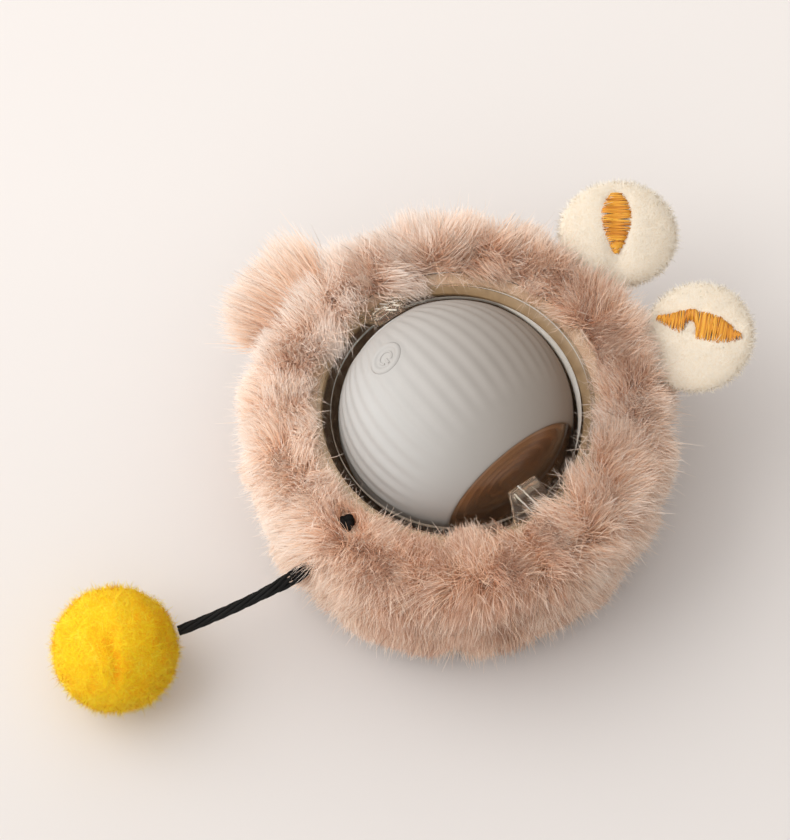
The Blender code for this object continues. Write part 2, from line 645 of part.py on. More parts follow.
def charging_socket():
    top = CHARGE_BOARD_HEIGHT - GAP
    mouth = top - SOCKET_LENGTH
    body = prism_bm(stadium(SOCKET_WIDTH, SOCKET_HEIGHT), mouth, top)
    socket = add("charging_socket", body, "steel", parent=BALL)
    inner = stadium(SOCKET_WIDTH - 2 * SOCKET_WALL, SOCKET_HEIGHT - 2 * SOCKET_WALL)
    hollow = prism_bm(inner, mouth - OVERRUN, top - SOCKET_FLOOR)
    combine(socket, add("socket_hollow", hollow, parent=BALL))
    width, height, length = SOCKET_TONGUE
    low, high = top - SOCKET_FLOOR - length, top - SOCKET_FLOOR / 2
    tongue = box_bm((width, height, high - low), (0, 0, (low + high) / 2))
    return combine(socket, add("socket_tongue", tongue, parent=BALL), "UNION")


def power_button():
    """A domed button with a raised rim and a power symbol; it slides in along its own axis."""
    inside = BUTTON_RADIUS - BUTTON_RIM_WIDTH
    dome = math.asin(inside / BALL_RADIUS)
    skirt_bottom = BALL_RADIUS - SKIN_WALL + GAP
    switch_top = SHELL_INNER - SWITCH_TUBE_DEPTH + SWITCH_HEIGHT + GAP
    stem_end = switch_top + BUTTON_TRAVEL + GAP / 2
    rim_low = BALL_RADIUS * math.cos(math.asin(BUTTON_RADIUS / BALL_RADIUS))
    rim_high = BALL_RADIUS * math.cos(dome) + BUTTON_RIM_RISE
    profile = arc(BALL_RADIUS, 0, dome, 4) + [
        (inside + BUTTON_RIM_RISE / 2, rim_high), (BUTTON_RADIUS - BUTTON_RIM_RISE, rim_high),
        (BUTTON_RADIUS, rim_low), (BUTTON_RADIUS, skirt_bottom),
        (BUTTON_STEM_RADIUS, skirt_bottom), (BUTTON_STEM_RADIUS, stem_end), (0, stem_end),
    ]
    button = turned("power_button", profile, 24, "silicone", parent=BUTTON)
    half_gap = SYMBOL_GAP_ANGLE / 2
    angles = [half_gap + (math.tau - SYMBOL_GAP_ANGLE) * step / 12 for step in range(13)]
    broken_ring = tube("button_symbol_ring",
                       [polar(SYMBOL_RADIUS, math.pi + a, BALL_RADIUS) for a in angles],
                       SYMBOL_TUBE, "silicone", parent=BUTTON, resolution=1)
    combine(button, meshed(broken_ring), "UNION")
    bar = tube("button_symbol_bar",
               [polar(SYMBOL_RADIUS * way, math.pi, BALL_RADIUS) for way in SYMBOL_BAR_SHARES],
               SYMBOL_TUBE, "silicone", parent=BUTTON, resolution=1)
    return combine(button, meshed(bar), "UNION")


def switch_parts():
    top = SHELL_INNER - SWITCH_TUBE_DEPTH - GAP
    board = cylinder_bm(SWITCH_BOARD_RADIUS, top - SWITCH_BOARD_THICKNESS, top, 20)
    add("switch_board", board, "circuit_green", parent=BUTTON)
    low = top + GAP
    height = SWITCH_HEIGHT * SWITCH_BODY_SHARE
    body = box_bm((SWITCH_SIDE, SWITCH_SIDE, height), (0, 0, low + height / 2))
    switch = add("tact_switch", body, "dark_plastic", parent=BUTTON)
    plunger = cylinder_bm(PLUNGER_RADIUS, low + SWITCH_HEIGHT / 2, low + SWITCH_HEIGHT, 12)
    combine(switch, add("tact_plunger", plunger, parent=BUTTON), "UNION")


def chassis_plate():
    """Round plate that carries the axle, idler pin, motor, battery and circuit board."""
    radius = math.sqrt(SHELL_INNER ** 2 - PLATE_TOP ** 2) - GAP
    plate = add("chassis_plate", cylinder_bm(radius, PLATE_HEIGHT, PLATE_TOP, 40), "dark_plastic",
                parent=BALL)
    post_spots = [polar(POST_DISTANCE, angle) for angle in POST_ANGLES]
    post_top = CIRCUIT_HEIGHT - GAP
    posts = cylinder_bm(POST_RADIUS, PLATE_TOP - PLATE_THICKNESS / 2, post_top, 12, post_spots)
    combine(plate, add("plate_posts", posts, parent=BALL), "UNION")
    idler_boss = cylinder_bm(IDLER_BOSS_RADIUS, IDLER_WHEEL_TOP + GAP,
                             PLATE_HEIGHT + PLATE_THICKNESS / 2, 16)
    combine(plate, add("plate_idler_boss", idler_boss, parent=IDLER), "UNION")
    low, high = PLATE_HEIGHT - OVERRUN, PLATE_TOP + OVERRUN
    screws = [polar(PLATE_SCREW_DISTANCE, angle) for angle in PLATE_SCREW_ANGLES]
    combine(plate, add("plate_screw_holes",
                       cylinder_bm(SCREW_RADIUS + GAP, low, high, 10, screws), parent=BALL))
    combine(plate, add("plate_post_bores",
                       cylinder_bm(SMALL_SCREW_RADIUS + GAP, PLATE_TOP, post_top + OVERRUN, 10,
                                   post_spots), parent=BALL))
    combine(plate, add("plate_axle_hole", cylinder_bm(AXLE_RADIUS + GAP, low, high, 16),
                       parent=BALL))
    combine(plate, add("plate_pin_hole",
                       cylinder_bm(IDLER_PIN_RADIUS + GAP, IDLER_WHEEL_TOP, high, 12),
                       parent=IDLER))
    combine(plate, add("plate_motor_hole",
                       cylinder_bm(MOTOR_BOSS_RADIUS + MOTOR_HOLE_CLEARANCE, low, high, 16),
                       parent=MOTOR))
    middle = (PLATE_HEIGHT + PLATE_TOP) / 2
    reach = math.sqrt(CHARGE_LEAD_PATH_RADIUS ** 2 - middle ** 2)
    notch = cylinder_bm(CHARGE_LEAD_RADIUS + 2 * GAP, low, high, 12,
                        [polar(reach, CHARGE_LEAD_ANGLE)])
    return combine(plate, add("plate_lead_notch", notch, parent=BALL))


def main_axle():
    head = WEIGHT_BOTTOM - GAP - GAP
    top = PLATE_TOP + GAP + CLIP_THICKNESS + AXLE_END
    profile = [(0, top), (AXLE_RADIUS, top), (AXLE_RADIUS, head), (AXLE_HEAD_RADIUS, head),
               (AXLE_HEAD_RADIUS, head - AXLE_HEAD_HEIGHT), (0, head - AXLE_HEAD_HEIGHT)]
    turned("main_axle", profile, 16, "steel", parent=BALL)
    inner = AXLE_RADIUS + GAP
    low = PLATE_TOP + GAP
    high = low + CLIP_THICKNESS
    ring = [(inner, high), (inner + CLIP_WIDTH, high), (inner + CLIP_WIDTH, low), (inner, low)]
    turned("axle_clip", ring, 16, "steel", closed=True, parent=BALL)


def idler_pin():
    pin = cylinder_bm(IDLER_PIN_RADIUS, IDLER_BOTTOM, PLATE_TOP, 12)
    add("idler_pin", pin, "steel", parent=IDLER)


def gear_outline(teeth, phase):
    """Teeth of straight flanks round a pitch circle; the first tooth's middle lies at phase."""
    pitch_radius = GEAR_MODULE * teeth / 2
    pitch = math.pi * GEAR_MODULE
    levels = [
        (pitch_radius - GEAR_MODULE * TOOTH_REACH_SHARES[1], TOOTH_WIDTH_SHARES[0]),
        (pitch_radius + GEAR_MODULE * TOOTH_REACH_SHARES[0], TOOTH_WIDTH_SHARES[1]),
    ]
    outline = []
    for tooth in range(teeth):
        middle = phase + math.tau * tooth / teeth
        for radius, width in levels:
            outline.append(polar(radius, middle - pitch * width / 2 / radius)[:2])
        for radius, width in reversed(levels):
            outline.append(polar(radius, middle + pitch * width / 2 / radius)[:2])
    return outline


def weight_parts():
    """Metal weight on a bush, hanging straight down, with the gear that turns it."""
    half = WEIGHT_SPREAD / 2
    first, last = WEIGHT_AZIMUTH - half, WEIGHT_AZIMUTH + half
    outer = [polar(WEIGHT_RADIUS, first + WEIGHT_SPREAD * s / 14)[:2] for s in range(15)]
    inner = [polar(WEIGHT_HUB_RADIUS / 2, last - WEIGHT_SPREAD * s / 3)[:2] for s in range(4)]
    weight = add("swing_weight", prism_bm(outer + inner, WEIGHT_BOTTOM, WEIGHT_TOP), "zinc",
                 parent=BALL)
    bevel = weight.modifiers.new("edges", "BEVEL")
    bevel.width = WEIGHT_EDGE
    bevel.segments = 1
    bevel.limit_method = "ANGLE"
    hub = cylinder_bm(WEIGHT_HUB_RADIUS, WEIGHT_BOTTOM, WEIGHT_HUB_TOP, 24)
    combine(weight, add("weight_hub", hub, parent=BALL), "UNION")
    bore = cylinder_bm(BUSH_RADIUS + GAP, WEIGHT_BOTTOM - OVERRUN, WEIGHT_HUB_TOP + OVERRUN, 20)
    combine(weight, add("weight_bore", bore, parent=BALL))

    low, high = WEIGHT_GEAR_Z, WEIGHT_GEAR_Z + WEIGHT_GEAR_THICKNESS
    gear = add("weight_gear", prism_bm(gear_outline(WEIGHT_GEAR_TEETH, 0), low, high),
               "gear_plastic", parent=BALL)
    combine(gear, add("weight_gear_bore", cylinder_bm(BUSH_RADIUS + GAP, low - OVERRUN,
                                                      high + OVERRUN, 20), parent=BALL))

    bottom, top = WEIGHT_BOTTOM - GAP, PLATE_HEIGHT - GAP
    sleeve = [(AXLE_RADIUS + GAP, top), (BUSH_RADIUS, top), (BUSH_RADIUS, bottom),
              (AXLE_RADIUS + GAP, bottom)]
    turned("weight_bush", sleeve, 20, "brass", closed=True, parent=BALL)


def idler_gear():
    """Double gear: its small teeth drive the weight gear, its large ones meet the motor pinion."""
    gap_to_weight = math.pi + math.pi / IDLER_PINION_TEETH
    small = prism_bm(gear_outline(IDLER_PINION_TEETH, gap_to_weight), IDLER_BOTTOM,
                     IDLER_WHEEL_Z + IDLER_WHEEL_THICKNESS / 2)
    to_motor = math.atan2(MOTOR_Y, MOTOR_X - IDLER_DISTANCE)
    large = prism_bm(gear_outline(IDLER_WHEEL_TEETH, to_motor), IDLER_WHEEL_Z, IDLER_WHEEL_TOP)
    gear = add("idler_gear", large, "gear_plastic", parent=IDLER)
    combine(gear, add("idler_small_teeth", small, parent=IDLER), "UNION")
    bore = cylinder_bm(IDLER_PIN_RADIUS + GAP, IDLER_BOTTOM - OVERRUN, IDLER_WHEEL_TOP + OVERRUN, 12)
    return combine(gear, add("idler_bore", bore, parent=IDLER))


def motor_parts():
    from_motor = math.atan2(-MOTOR_Y, IDLER_DISTANCE - MOTOR_X) + math.pi / MOTOR_PINION_TEETH
    low, high = IDLER_WHEEL_Z - PINION_MARGIN, IDLER_WHEEL_TOP + PINION_MARGIN
    pinion = add("motor_pinion", prism_bm(gear_outline(MOTOR_PINION_TEETH, from_motor), low, high),
                 "brass", parent=MOTOR)
    bore = cylinder_bm(MOTOR_SHAFT_RADIUS + GAP / 2, low - OVERRUN, high + OVERRUN, 12)
    combine(pinion, add("motor_pinion_bore", bore, parent=MOTOR))
    shaft_top = MOTOR_Z + MOTOR_SHAFT_DEPTH - GAP
    add("motor_shaft", cylinder_bm(MOTOR_SHAFT_RADIUS, low, shaft_top, 12), "steel", parent=MOTOR)

    top = MOTOR_Z + MOTOR_LENGTH
    boss = PLATE_HEIGHT + GAP
    bore_radius = MOTOR_SHAFT_RADIUS + GAP
    profile = [(0, top), (MOTOR_RADIUS, top), (MOTOR_RADIUS, MOTOR_Z), (MOTOR_BOSS_RADIUS, MOTOR_Z),
               (MOTOR_BOSS_RADIUS, boss), (bore_radius, boss),
               (bore_radius, MOTOR_Z + MOTOR_SHAFT_DEPTH), (0, MOTOR_Z + MOTOR_SHAFT_DEPTH)]
    turned("motor_case", profile, 24, "steel", parent=MOTOR)
    cap = cylinder_bm(MOTOR_CAP_RADIUS, top + GAP, top + GAP + MOTOR_CAP_THICKNESS, 20)
    add("motor_end_cap", cap, "dark_plastic", parent=MOTOR)


def battery_parts():
    width, length, height = BATTERY_SIZE
    low = PLATE_TOP + GAP
    cell = add("battery", box_bm(BATTERY_SIZE, (-BATTERY_OFFSET, 0, low + height / 2)),
               "battery_wrap", parent=BALL)
    bevel = cell.modifiers.new("edges", "BEVEL")
    bevel.width = BATTERY_EDGE
    bevel.segments = 2
    for name, look, side in (("battery_lead_red", "lead_red", -1),
                             ("battery_lead_black", "lead_black", 1)):
        x = -BATTERY_OFFSET + LEAD_SPACING + side * LEAD_SPACING
        face = length / 2 + GAP
        route = [(x, face + LEAD_BULGE * out, low + height * up) for out, up in LEAD_SHARES]
        route.append((x, face + LEAD_BULGE, CIRCUIT_HEIGHT - GAP))
        tube(name, smooth_route(route, 3), LEAD_RADIUS, look, parent=BALL, resolution=1)


def circuit_parts():
    radius = math.sqrt(SHELL_INNER ** 2 - CIRCUIT_TOP ** 2) - GAP
    board = add("circuit_board", cylinder_bm(radius, CIRCUIT_HEIGHT, CIRCUIT_TOP, 32),
                "circuit_green", parent=BALL)
    spots = [polar(POST_DISTANCE, angle) for angle in POST_ANGLES]
    low, high = CIRCUIT_HEIGHT - OVERRUN, CIRCUIT_TOP + OVERRUN
    combine(board, add("circuit_screw_holes",
                       cylinder_bm(SMALL_SCREW_RADIUS + GAP, low, high, 10, spots), parent=BALL))
    combine(board, add("circuit_motor_hole",
                       cylinder_bm(MOTOR_RADIUS + MOTOR_HOLE_CLEARANCE, low, high, 20),
                       parent=MOTOR))
    chip = box_bm((CHIP_SIDE, CHIP_SIDE, CHIP_HEIGHT), (0, 0, CIRCUIT_TOP + GAP + CHIP_HEIGHT / 2))
    add("control_chip", chip, "dark_plastic", parent=BALL)
    for number, angle in enumerate(LAMP_ANGLES, 1):
        spot = polar(LAMP_DISTANCE, angle, CIRCUIT_TOP + GAP + LAMP_HEIGHT / 2)
        lamp = box_bm((LAMP_SIDE, LAMP_SIDE, LAMP_HEIGHT), spot)
        add(f"lamp_{number}", lamp, "lamp_epoxy", parent=BALL)


def reflector():
    """White cup over the lamps; its raised rings show through the smoked window."""
    foot = CIRCUIT_TOP + GAP
    face = foot + REFLECTOR_HEIGHT
    profile = []
    for start, end in REFLECTOR_RING_SHARES:
        rise = face + REFLECTOR_STEP
        if start:
            profile.append((REFLECTOR_RADIUS * start, face))
        profile.append((REFLECTOR_RADIUS * start, rise))
        profile.append((REFLECTOR_RADIUS * end, rise))
        profile.append((REFLECTOR_RADIUS * end, face))
    shoulder = foot + REFLECTOR_HEIGHT * REFLECTOR_SKIRT_SHARE
    inner_top = face - REFLECTOR_WALL
    profile += [
        (REFLECTOR_RADIUS, face), (REFLECTOR_RADIUS, shoulder), (REFLECTOR_FOOT_RADIUS, foot),
        (REFLECTOR_FOOT_RADIUS - REFLECTOR_WALL, foot), (REFLECTOR_RADIUS - REFLECTOR_WALL, shoulder),
        (REFLECTOR_RADIUS - REFLECTOR_WALL, inner_top), (0, inner_top),
    ]
    return turned("reflector", profile, 20, "gear_plastic", parent=BALL)


def charge_board():
    top = CHARGE_BOARD_HEIGHT + BOARD_THICKNESS
    radius = math.sqrt(SHELL_INNER ** 2 - CHARGE_BOARD_HEIGHT ** 2) - CHARGE_BOARD_MARGIN
    board = add("charge_board", cylinder_bm(radius, CHARGE_BOARD_HEIGHT, top, 28), "circuit_green",
                parent=BALL)
    spots = [polar(CHARGE_POST_DISTANCE, angle) for angle in CHARGE_POST_ANGLES]
    holes = cylinder_bm(SMALL_SCREW_RADIUS + GAP, CHARGE_BOARD_HEIGHT - OVERRUN, top + OVERRUN, 10,
                        spots)
    return combine(board, add("charge_board_holes", holes, parent=BALL))


def charge_lead():
    """The lead from the charge board up the shell's wall to the circuit board."""
    start, end = CHARGE_LEAD_SPAN
    route = []
    for step in range(11):
        angle = end + (start - end) * step / 10
        reach = CHARGE_LEAD_PATH_RADIUS * math.sin(angle)
        route.append(Vector(polar(reach, CHARGE_LEAD_ANGLE, CHARGE_LEAD_PATH_RADIUS * math.cos(angle))))
    low = CHARGE_BOARD_HEIGHT + BOARD_THICKNESS + GAP
    high = CIRCUIT_HEIGHT - GAP
    inward = Vector(polar(CHARGE_LEAD_END, CHARGE_LEAD_ANGLE))
    first = route[0] - inward
    last = route[-1] - inward
    ends = [Vector((first.x, first.y, low)), Vector((last.x, last.y, high))]
    points = smooth_route([ends[0]] + route + [ends[1]], 2)
    return tube("charge_lead", points, CHARGE_LEAD_RADIUS, "lead_black", parent=BALL, resolution=1)


def screws():
    for number, angle in enumerate(PLATE_SCREW_ANGLES, 1):
        screw(f"chassis_screw_{number}", SCREW_RADIUS, SCREW_LENGTH, SCREW_HEAD_RADIUS,
              SCREW_HEAD_HEIGHT, BALL, polar(PLATE_SCREW_DISTANCE, angle, PLATE_HEIGHT - GAP))
    for number, angle in enumerate(POST_ANGLES, 1):
        screw(f"board_screw_{number}", SMALL_SCREW_RADIUS, SMALL_SCREW_LENGTH, SMALL_HEAD_RADIUS,
              SMALL_HEAD_HEIGHT, BALL, polar(POST_DISTANCE, angle, CIRCUIT_TOP + GAP), down=True)
    for number, angle in enumerate(CHARGE_POST_ANGLES, 1):
        height = CHARGE_BOARD_HEIGHT + BOARD_THICKNESS + GAP
        length = BOARD_THICKNESS + CHARGE_POST_LENGTH * CHARGE_SCREW_SHARE
        screw(f"charge_screw_{number}", SMALL_SCREW_RADIUS, length, SMALL_HEAD_RADIUS,
              SMALL_HEAD_HEIGHT, BALL, polar(CHARGE_POST_DISTANCE, angle, height), down=True)


def clear_bowl():
    rim_angle = math.acos(-BOWL_RIM_DROP / BOWL_INNER_RADIUS)
    under = RIM_Z - FLANGE_THICKNESS
    outer_angle = math.acos((under - BOWL_CENTRE_Z) / BOWL_OUTER_RADIUS)
    profile = arc(BOWL_INNER_RADIUS, math.pi, rim_angle, 8, BOWL_CENTRE_Z)
    profile += [(FLANGE_RADIUS, RIM_Z), (FLANGE_RADIUS, under)]
    profile += arc(BOWL_OUTER_RADIUS, outer_angle, math.pi, 8, BOWL_CENTRE_Z)
    bowl = turned("clear_bowl", profile, BOWL_STEPS, "clear_plastic")
    hole = cylinder_bm(CORD_DIAMETER / 2 + CORD_HOLE_CLEARANCE, under - OVERRUN, RIM_Z + OVERRUN, 14)
    return combine(bowl, add("bowl_cord_hole", hole, at=(*KNOT_PLACE, 0)))


def retaining_ring():
    """Snap-in ring: a skirt, a narrow flange on the bowl's rim and two stepped tongues."""
    depth = BOWL_CENTRE_Z - RING_BOTTOM_Z
    outer = math.sqrt(BOWL_INNER_RADIUS ** 2 - depth ** 2) - GAP
    inner = outer - RING_WALL
    seat = RIM_Z + GAP
    profile = [(inner, RING_TOP_Z), (RING_FLANGE_RADIUS, RING_TOP_Z), (RING_FLANGE_RADIUS, seat),
               (outer, seat), (outer, RING_BOTTOM_Z), (inner, RING_BOTTOM_Z)]
    ring = turned("retaining_ring", profile, BOWL_STEPS, "clear_plastic", closed=True)
    root = Vector((inner + RING_WALL / 2, 0, RING_TOP_Z - TONGUE_THICKNESS / 2))
    tip = Vector((TONGUE_TIP_RADIUS, 0, TONGUE_TIP_Z))
    slope = math.atan2(tip.z - root.z, root.x - tip.x)
    length = (root - tip).length
    plates, steps = bmesh.new(), bmesh.new()
    for number in range(TONGUE_COUNT):
        lean = (Matrix.Rotation(TONGUE_AZIMUTH + math.tau * number / TONGUE_COUNT, 4, "Z")
                @ Matrix.Translation((root + tip) / 2) @ Matrix.Rotation(slope, 4, "Y"))
        shape = Matrix.Diagonal((length, TONGUE_ROOT_WIDTH, TONGUE_THICKNESS, 1))
        made = bmesh.ops.create_cube(plates, size=1, matrix=shape)
        narrow = TONGUE_TIP_WIDTH / TONGUE_ROOT_WIDTH
        for vert in made["verts"]:
            if vert.co.x < 0:
                vert.co.y *= narrow
        bmesh.ops.transform(plates, matrix=lean, verts=made["verts"])
        rise = TONGUE_THICKNESS / 2 + TONGUE_STEP_HEIGHT
        along = TONGUE_STEP_INSET + TONGUE_STEP_LENGTH / 2 - length / 2
        step_shape = (lean @ Matrix.Translation((along, 0, rise / 2))
                      @ Matrix.Diagonal((TONGUE_STEP_LENGTH, TONGUE_TIP_WIDTH - TONGUE_STEP_INSET, rise, 1)))
        bmesh.ops.create_cube(steps, size=1, matrix=step_shape)
    combine(ring, add("ring_tongues", plates), "UNION")
    return combine(ring, add("ring_tongue_steps", steps), "UNION")


def ear_turn(pointing):
    """The ear's own frame: X the way it points, Z out of its face, its outer edge raised."""
    return Matrix.Rotation(pointing, 3, "Z") @ Matrix.Rotation(-EAR_TILT, 3, "Y")


def ear_sphere(margin=0):
    return sphere_bm((EAR_LENGTH / 2 + margin, EAR_WIDTH / 2 + margin, EAR_THICKNESS / 2 + margin),
                     16, 8)


def ear_face_height(x, y):
    """Height of the ear's rounded face over its middle plane."""
    inside = 1 - (2 * x / EAR_LENGTH) ** 2 - (2 * y / EAR_WIDTH) ** 2
    return EAR_THICKNESS / 2 * math.sqrt(max(0, inside))


def ears():
    for name, (azimuth, pointing) in EAR_ANGLES.items():
        centre = polar(EAR_DISTANCE, azimuth, EAR_HEIGHT)
        turn = ear_turn(pointing)
        add(name, ear_sphere(), "ear_plush", at=centre, turn=turn)
        length = EMBROIDERY_LENGTHS[name]
        shift_x, shift_y = EMBROIDERY_SHIFTS[name]
        bm = bmesh.new()
        bmesh.ops.create_grid(bm, x_segments=len(ALMOND_SHARES) - 1, y_segments=4, size=0.5)
        for vert in bm.verts:
            column = round((0.5 - vert.co.x) * (len(ALMOND_SHARES) - 1))
            x = vert.co.x * length + shift_x
            y = vert.co.y * EMBROIDERY_WIDTH * ALMOND_SHARES[column] + shift_y
            vert.co = (x, y, ear_face_height(x, y) + GAP)
        pad = add(name + "_embroidery", bm, "embroidery", at=centre, turn=turn)
        thick = pad.modifiers.new("thickness", "SOLIDIFY")
        thick.thickness = EMBROIDERY_THICKNESS
        thick.offset = 1


def tail_slot():
    """A fan-shaped channel round the cord's way out, wide enough for the tail's swing."""
    route = smooth_route(CORD_POINTS, 2)
    centre = Vector((*KNOT_PLACE, 0))
    heading = math.atan2(POMPOM_CENTRE[1] - centre.y, POMPOM_CENTRE[0] - centre.x)
    side = Vector(polar(1, heading + math.pi / 2))
    half_height = CORD_DIAMETER / 2 + SLOT_CLEARANCE
    bm = bmesh.new()
    rings = []
    for spot, following in zip(route, route[1:]):
        along = (following - spot).normalized()
        upward = along.cross(side).normalized() * -1
        away = (Vector((spot.x, spot.y, 0)) - centre).length
        half_width = half_height + (away + half_height) * math.tan(TAIL_SWING)
        rings.append([bm.verts.new(spot + side * half_width * a + upward * half_height * b)
                      for a, b in ((1, 1), (-1, 1), (-1, -1), (1, -1))])
    for first, second in zip(rings, rings[1:]):
        for corner in range(4):
            after = (corner + 1) % 4
            bm.faces.new((first[corner], first[after], second[after], second[corner]))
    bm.faces.new(rings[0])
    bm.faces.new(reversed(rings[-1]))
    bmesh.ops.recalc_face_normals(bm, faces=bm.faces)
    return add("fur_tail_slot", bm)


def fur_cover():
    """The furry bun: its outer form is the tips of the pile, its hollow holds the bowl."""
    width = FUR_RADIUS - FUR_FOOT_RADIUS
    profile = [(0, FUR_TOP), (HEM_RADIUS, FUR_TOP)]
    profile += [(FUR_FOOT_RADIUS + width * out, FUR_TOP * up) for out, up in FUR_SIDE_SHARES]
    profile += [(FUR_FOOT_RADIUS, 0), (0, 0)]
    cover = turned("fur_cover", profile, BOWL_STEPS, "fur")
    tuft_centre = polar(FUR_RADIUS - TUFT_INSET, TUFT_AZIMUTH, FUR_TOP - TUFT_DROP)
    tuft = add("fur_tuft", sphere_bm(TUFT_SIZE, 18, 10), at=tuft_centre,
               turn=Matrix.Rotation(TUFT_AZIMUTH, 3, "Z"))
    combine(cover, tuft, "UNION")

    cavity = BOWL_OUTER_RADIUS + GAP
    groove_low = RIM_Z - FLANGE_THICKNESS - GAP
    groove_high = RIM_Z + GAP
    hem_rise = FUR_TOP - groove_high
    meets = math.acos((groove_low - BOWL_CENTRE_Z) / cavity)
    hollow = [
        (0, FUR_TOP + OVERRUN), (HEM_RADIUS + hem_rise * HEM_FLARE_SHARE, FUR_TOP + OVERRUN),
        (HEM_RADIUS, groove_high + hem_rise / 2), (HEM_RADIUS, groove_high),
        (FLANGE_RADIUS + GAP, groove_high), (FLANGE_RADIUS + GAP, groove_low),
    ]
    hollow += arc(cavity, meets, math.pi, 8, BOWL_CENTRE_Z)
    combine(cover, turned("fur_hollow", hollow, BOWL_STEPS))
    for name, (azimuth, pointing) in EAR_ANGLES.items():
        centre = polar(EAR_DISTANCE, azimuth, EAR_HEIGHT)
        combine(cover, add(name + "_pocket", ear_sphere(GAP), at=centre, turn=ear_turn(pointing)))
    notch = cylinder_bm(KNOT_RADIUS + 2 * CORD_HOLE_CLEARANCE, groove_low, FUR_TOP + OVERRUN, 16)
    combine(cover, add("fur_knot_notch", notch, at=(*KNOT_PLACE, 0)))
    return combine(cover, tail_slot())


def tail_parts():
    middle = (*KNOT_PLACE, RIM_Z + GAP + KNOT_HEIGHT / 2)
    knot = sphere_bm((KNOT_RADIUS, KNOT_RADIUS, KNOT_HEIGHT / 2), 12, 6)
    add("cord_knot", knot, "black_yarn", at=middle)
    tube("tail_cord", smooth_route(CORD_POINTS, CORD_STEPS), CORD_DIAMETER / 2, "black_yarn")
    pompom = sphere_bm((POMPOM_RADIUS, POMPOM_RADIUS, POMPOM_RADIUS), 18, 10)
    add("pompom", pompom, "yellow_felt", at=POMPOM_CENTRE)


silicone_skin()
near_shell()
far_shell()
window_lens()
port_cap()
charging_socket()
power_button()
switch_parts()
chassis_plate()
main_axle()
idler_pin()
weight_parts()
idler_gear()
motor_parts()
battery_parts()
circuit_parts()
reflector()
charge_board()
charge_lead()
screws()
clear_bowl()
retaining_ring()
ears()
fur_cover()
tail_parts()
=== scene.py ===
# %% [markdown]
# # Self rolling cat ball
# A motorised ball rolls about in a clear bowl. A bun of fur hides the bowl, with two plush ears
# at one side and a cord tail that ends in a yellow pompom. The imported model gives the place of
# every part; this script dresses it piece by piece.

# %% Load the frame
import json
import math

import bmesh
import bpy
import numpy as np
from mathutils import Matrix, Vector, noise


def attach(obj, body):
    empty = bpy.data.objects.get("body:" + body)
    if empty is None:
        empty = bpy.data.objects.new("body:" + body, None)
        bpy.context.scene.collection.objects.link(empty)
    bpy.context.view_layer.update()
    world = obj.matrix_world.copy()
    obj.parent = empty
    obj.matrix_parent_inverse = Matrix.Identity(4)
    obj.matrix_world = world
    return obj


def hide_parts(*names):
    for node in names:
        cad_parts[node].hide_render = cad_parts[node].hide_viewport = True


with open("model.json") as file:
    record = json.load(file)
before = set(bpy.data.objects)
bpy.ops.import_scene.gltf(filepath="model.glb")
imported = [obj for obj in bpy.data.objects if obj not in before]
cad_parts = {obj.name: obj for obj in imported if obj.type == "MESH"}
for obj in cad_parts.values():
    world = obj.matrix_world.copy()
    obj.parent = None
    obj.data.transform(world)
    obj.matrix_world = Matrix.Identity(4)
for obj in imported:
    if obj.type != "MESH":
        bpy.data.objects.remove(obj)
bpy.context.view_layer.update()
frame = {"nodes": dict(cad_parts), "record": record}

scene = bpy.context.scene
nodes = frame["nodes"]
print(len(nodes), "solids in the frame")

# %% [markdown]
# ## Camera
# The view is from 67 degrees above the front. A long lens from a metre away keeps lines nearly
# parallel. It is aimed a little beside the ball, because the tail takes up the left side.

# %% Camera
BALL_CENTRE = Vector((0, 0, 0.0288))
FLOOR_Z = 0.0003
PICTURE_HEIGHT = 0.15345
CAMERA_DISTANCE = 0.95
CAMERA_TILT = math.radians(23)

turn = Matrix.Rotation(CAMERA_TILT, 3, "X")
camera_data = bpy.data.cameras.new("camera")
camera_data.lens = 36 * CAMERA_DISTANCE / PICTURE_HEIGHT
camera_data.clip_start = 0.05
camera = bpy.data.objects.new("camera", camera_data)
scene.collection.objects.link(camera)
camera.location = BALL_CENTRE + turn @ Vector((-0.01114, -0.00047, CAMERA_DISTANCE))
camera.rotation_euler = (CAMERA_TILT, 0, 0)
scene.camera = camera
scene.view_settings.view_transform = "Standard"
print("lens", round(camera_data.lens), "mm")

# %% [markdown]
# ## Making materials
# A material is a Principled shader with a few nodes in front of it. Grain, brushing and lint are
# wanted in many of them, so each is a node group with its own values in every material.

# %% Helpers for nodes
def linked(tree, kind, settings=None, **sockets):
    """A new node, with its properties and its sockets set or linked."""
    node = tree.nodes.new(kind)
    for key, value in (settings or {}).items():
        setattr(node, key, value)
    for key, value in sockets.items():
        socket = node.inputs[int(key[1:])] if key[1:].isdigit() else node.inputs[key.replace("_", " ")]
        if isinstance(value, bpy.types.NodeSocket):
            tree.links.new(value, socket)
        else:
            socket.default_value = value
    return node


def ramp(tree, fac, stops):
    node = linked(tree, "ShaderNodeValToRGB", Fac=fac)
    band = node.color_ramp
    while len(band.elements) < len(stops):
        band.elements.new(0.5)
    for element, (position, colour) in zip(band.elements, stops):
        element.position = position
        element.color = (*colour, 1)
    return node.outputs["Color"]


def mixed(tree, fac, first, second, blend="MIX"):
    return linked(tree, "ShaderNodeMix", {"data_type": "RGBA", "blend_type": blend},
                  _0=fac, _6=first, _7=second).outputs[2]


def ranged(tree, value, **limits):
    """A value drawn from one range out to another."""
    return linked(tree, "ShaderNodeMapRange", Value=value, **limits).outputs["Result"]


def fed(tree, node, **sources):
    for key, source in sources.items():
        tree.links.new(source, node.inputs[key.replace("_", " ")])


def dot_product(tree, vector, way):
    return linked(tree, "ShaderNodeVectorMath", {"operation": "DOT_PRODUCT"}, _0=vector, _1=way).outputs["Value"]


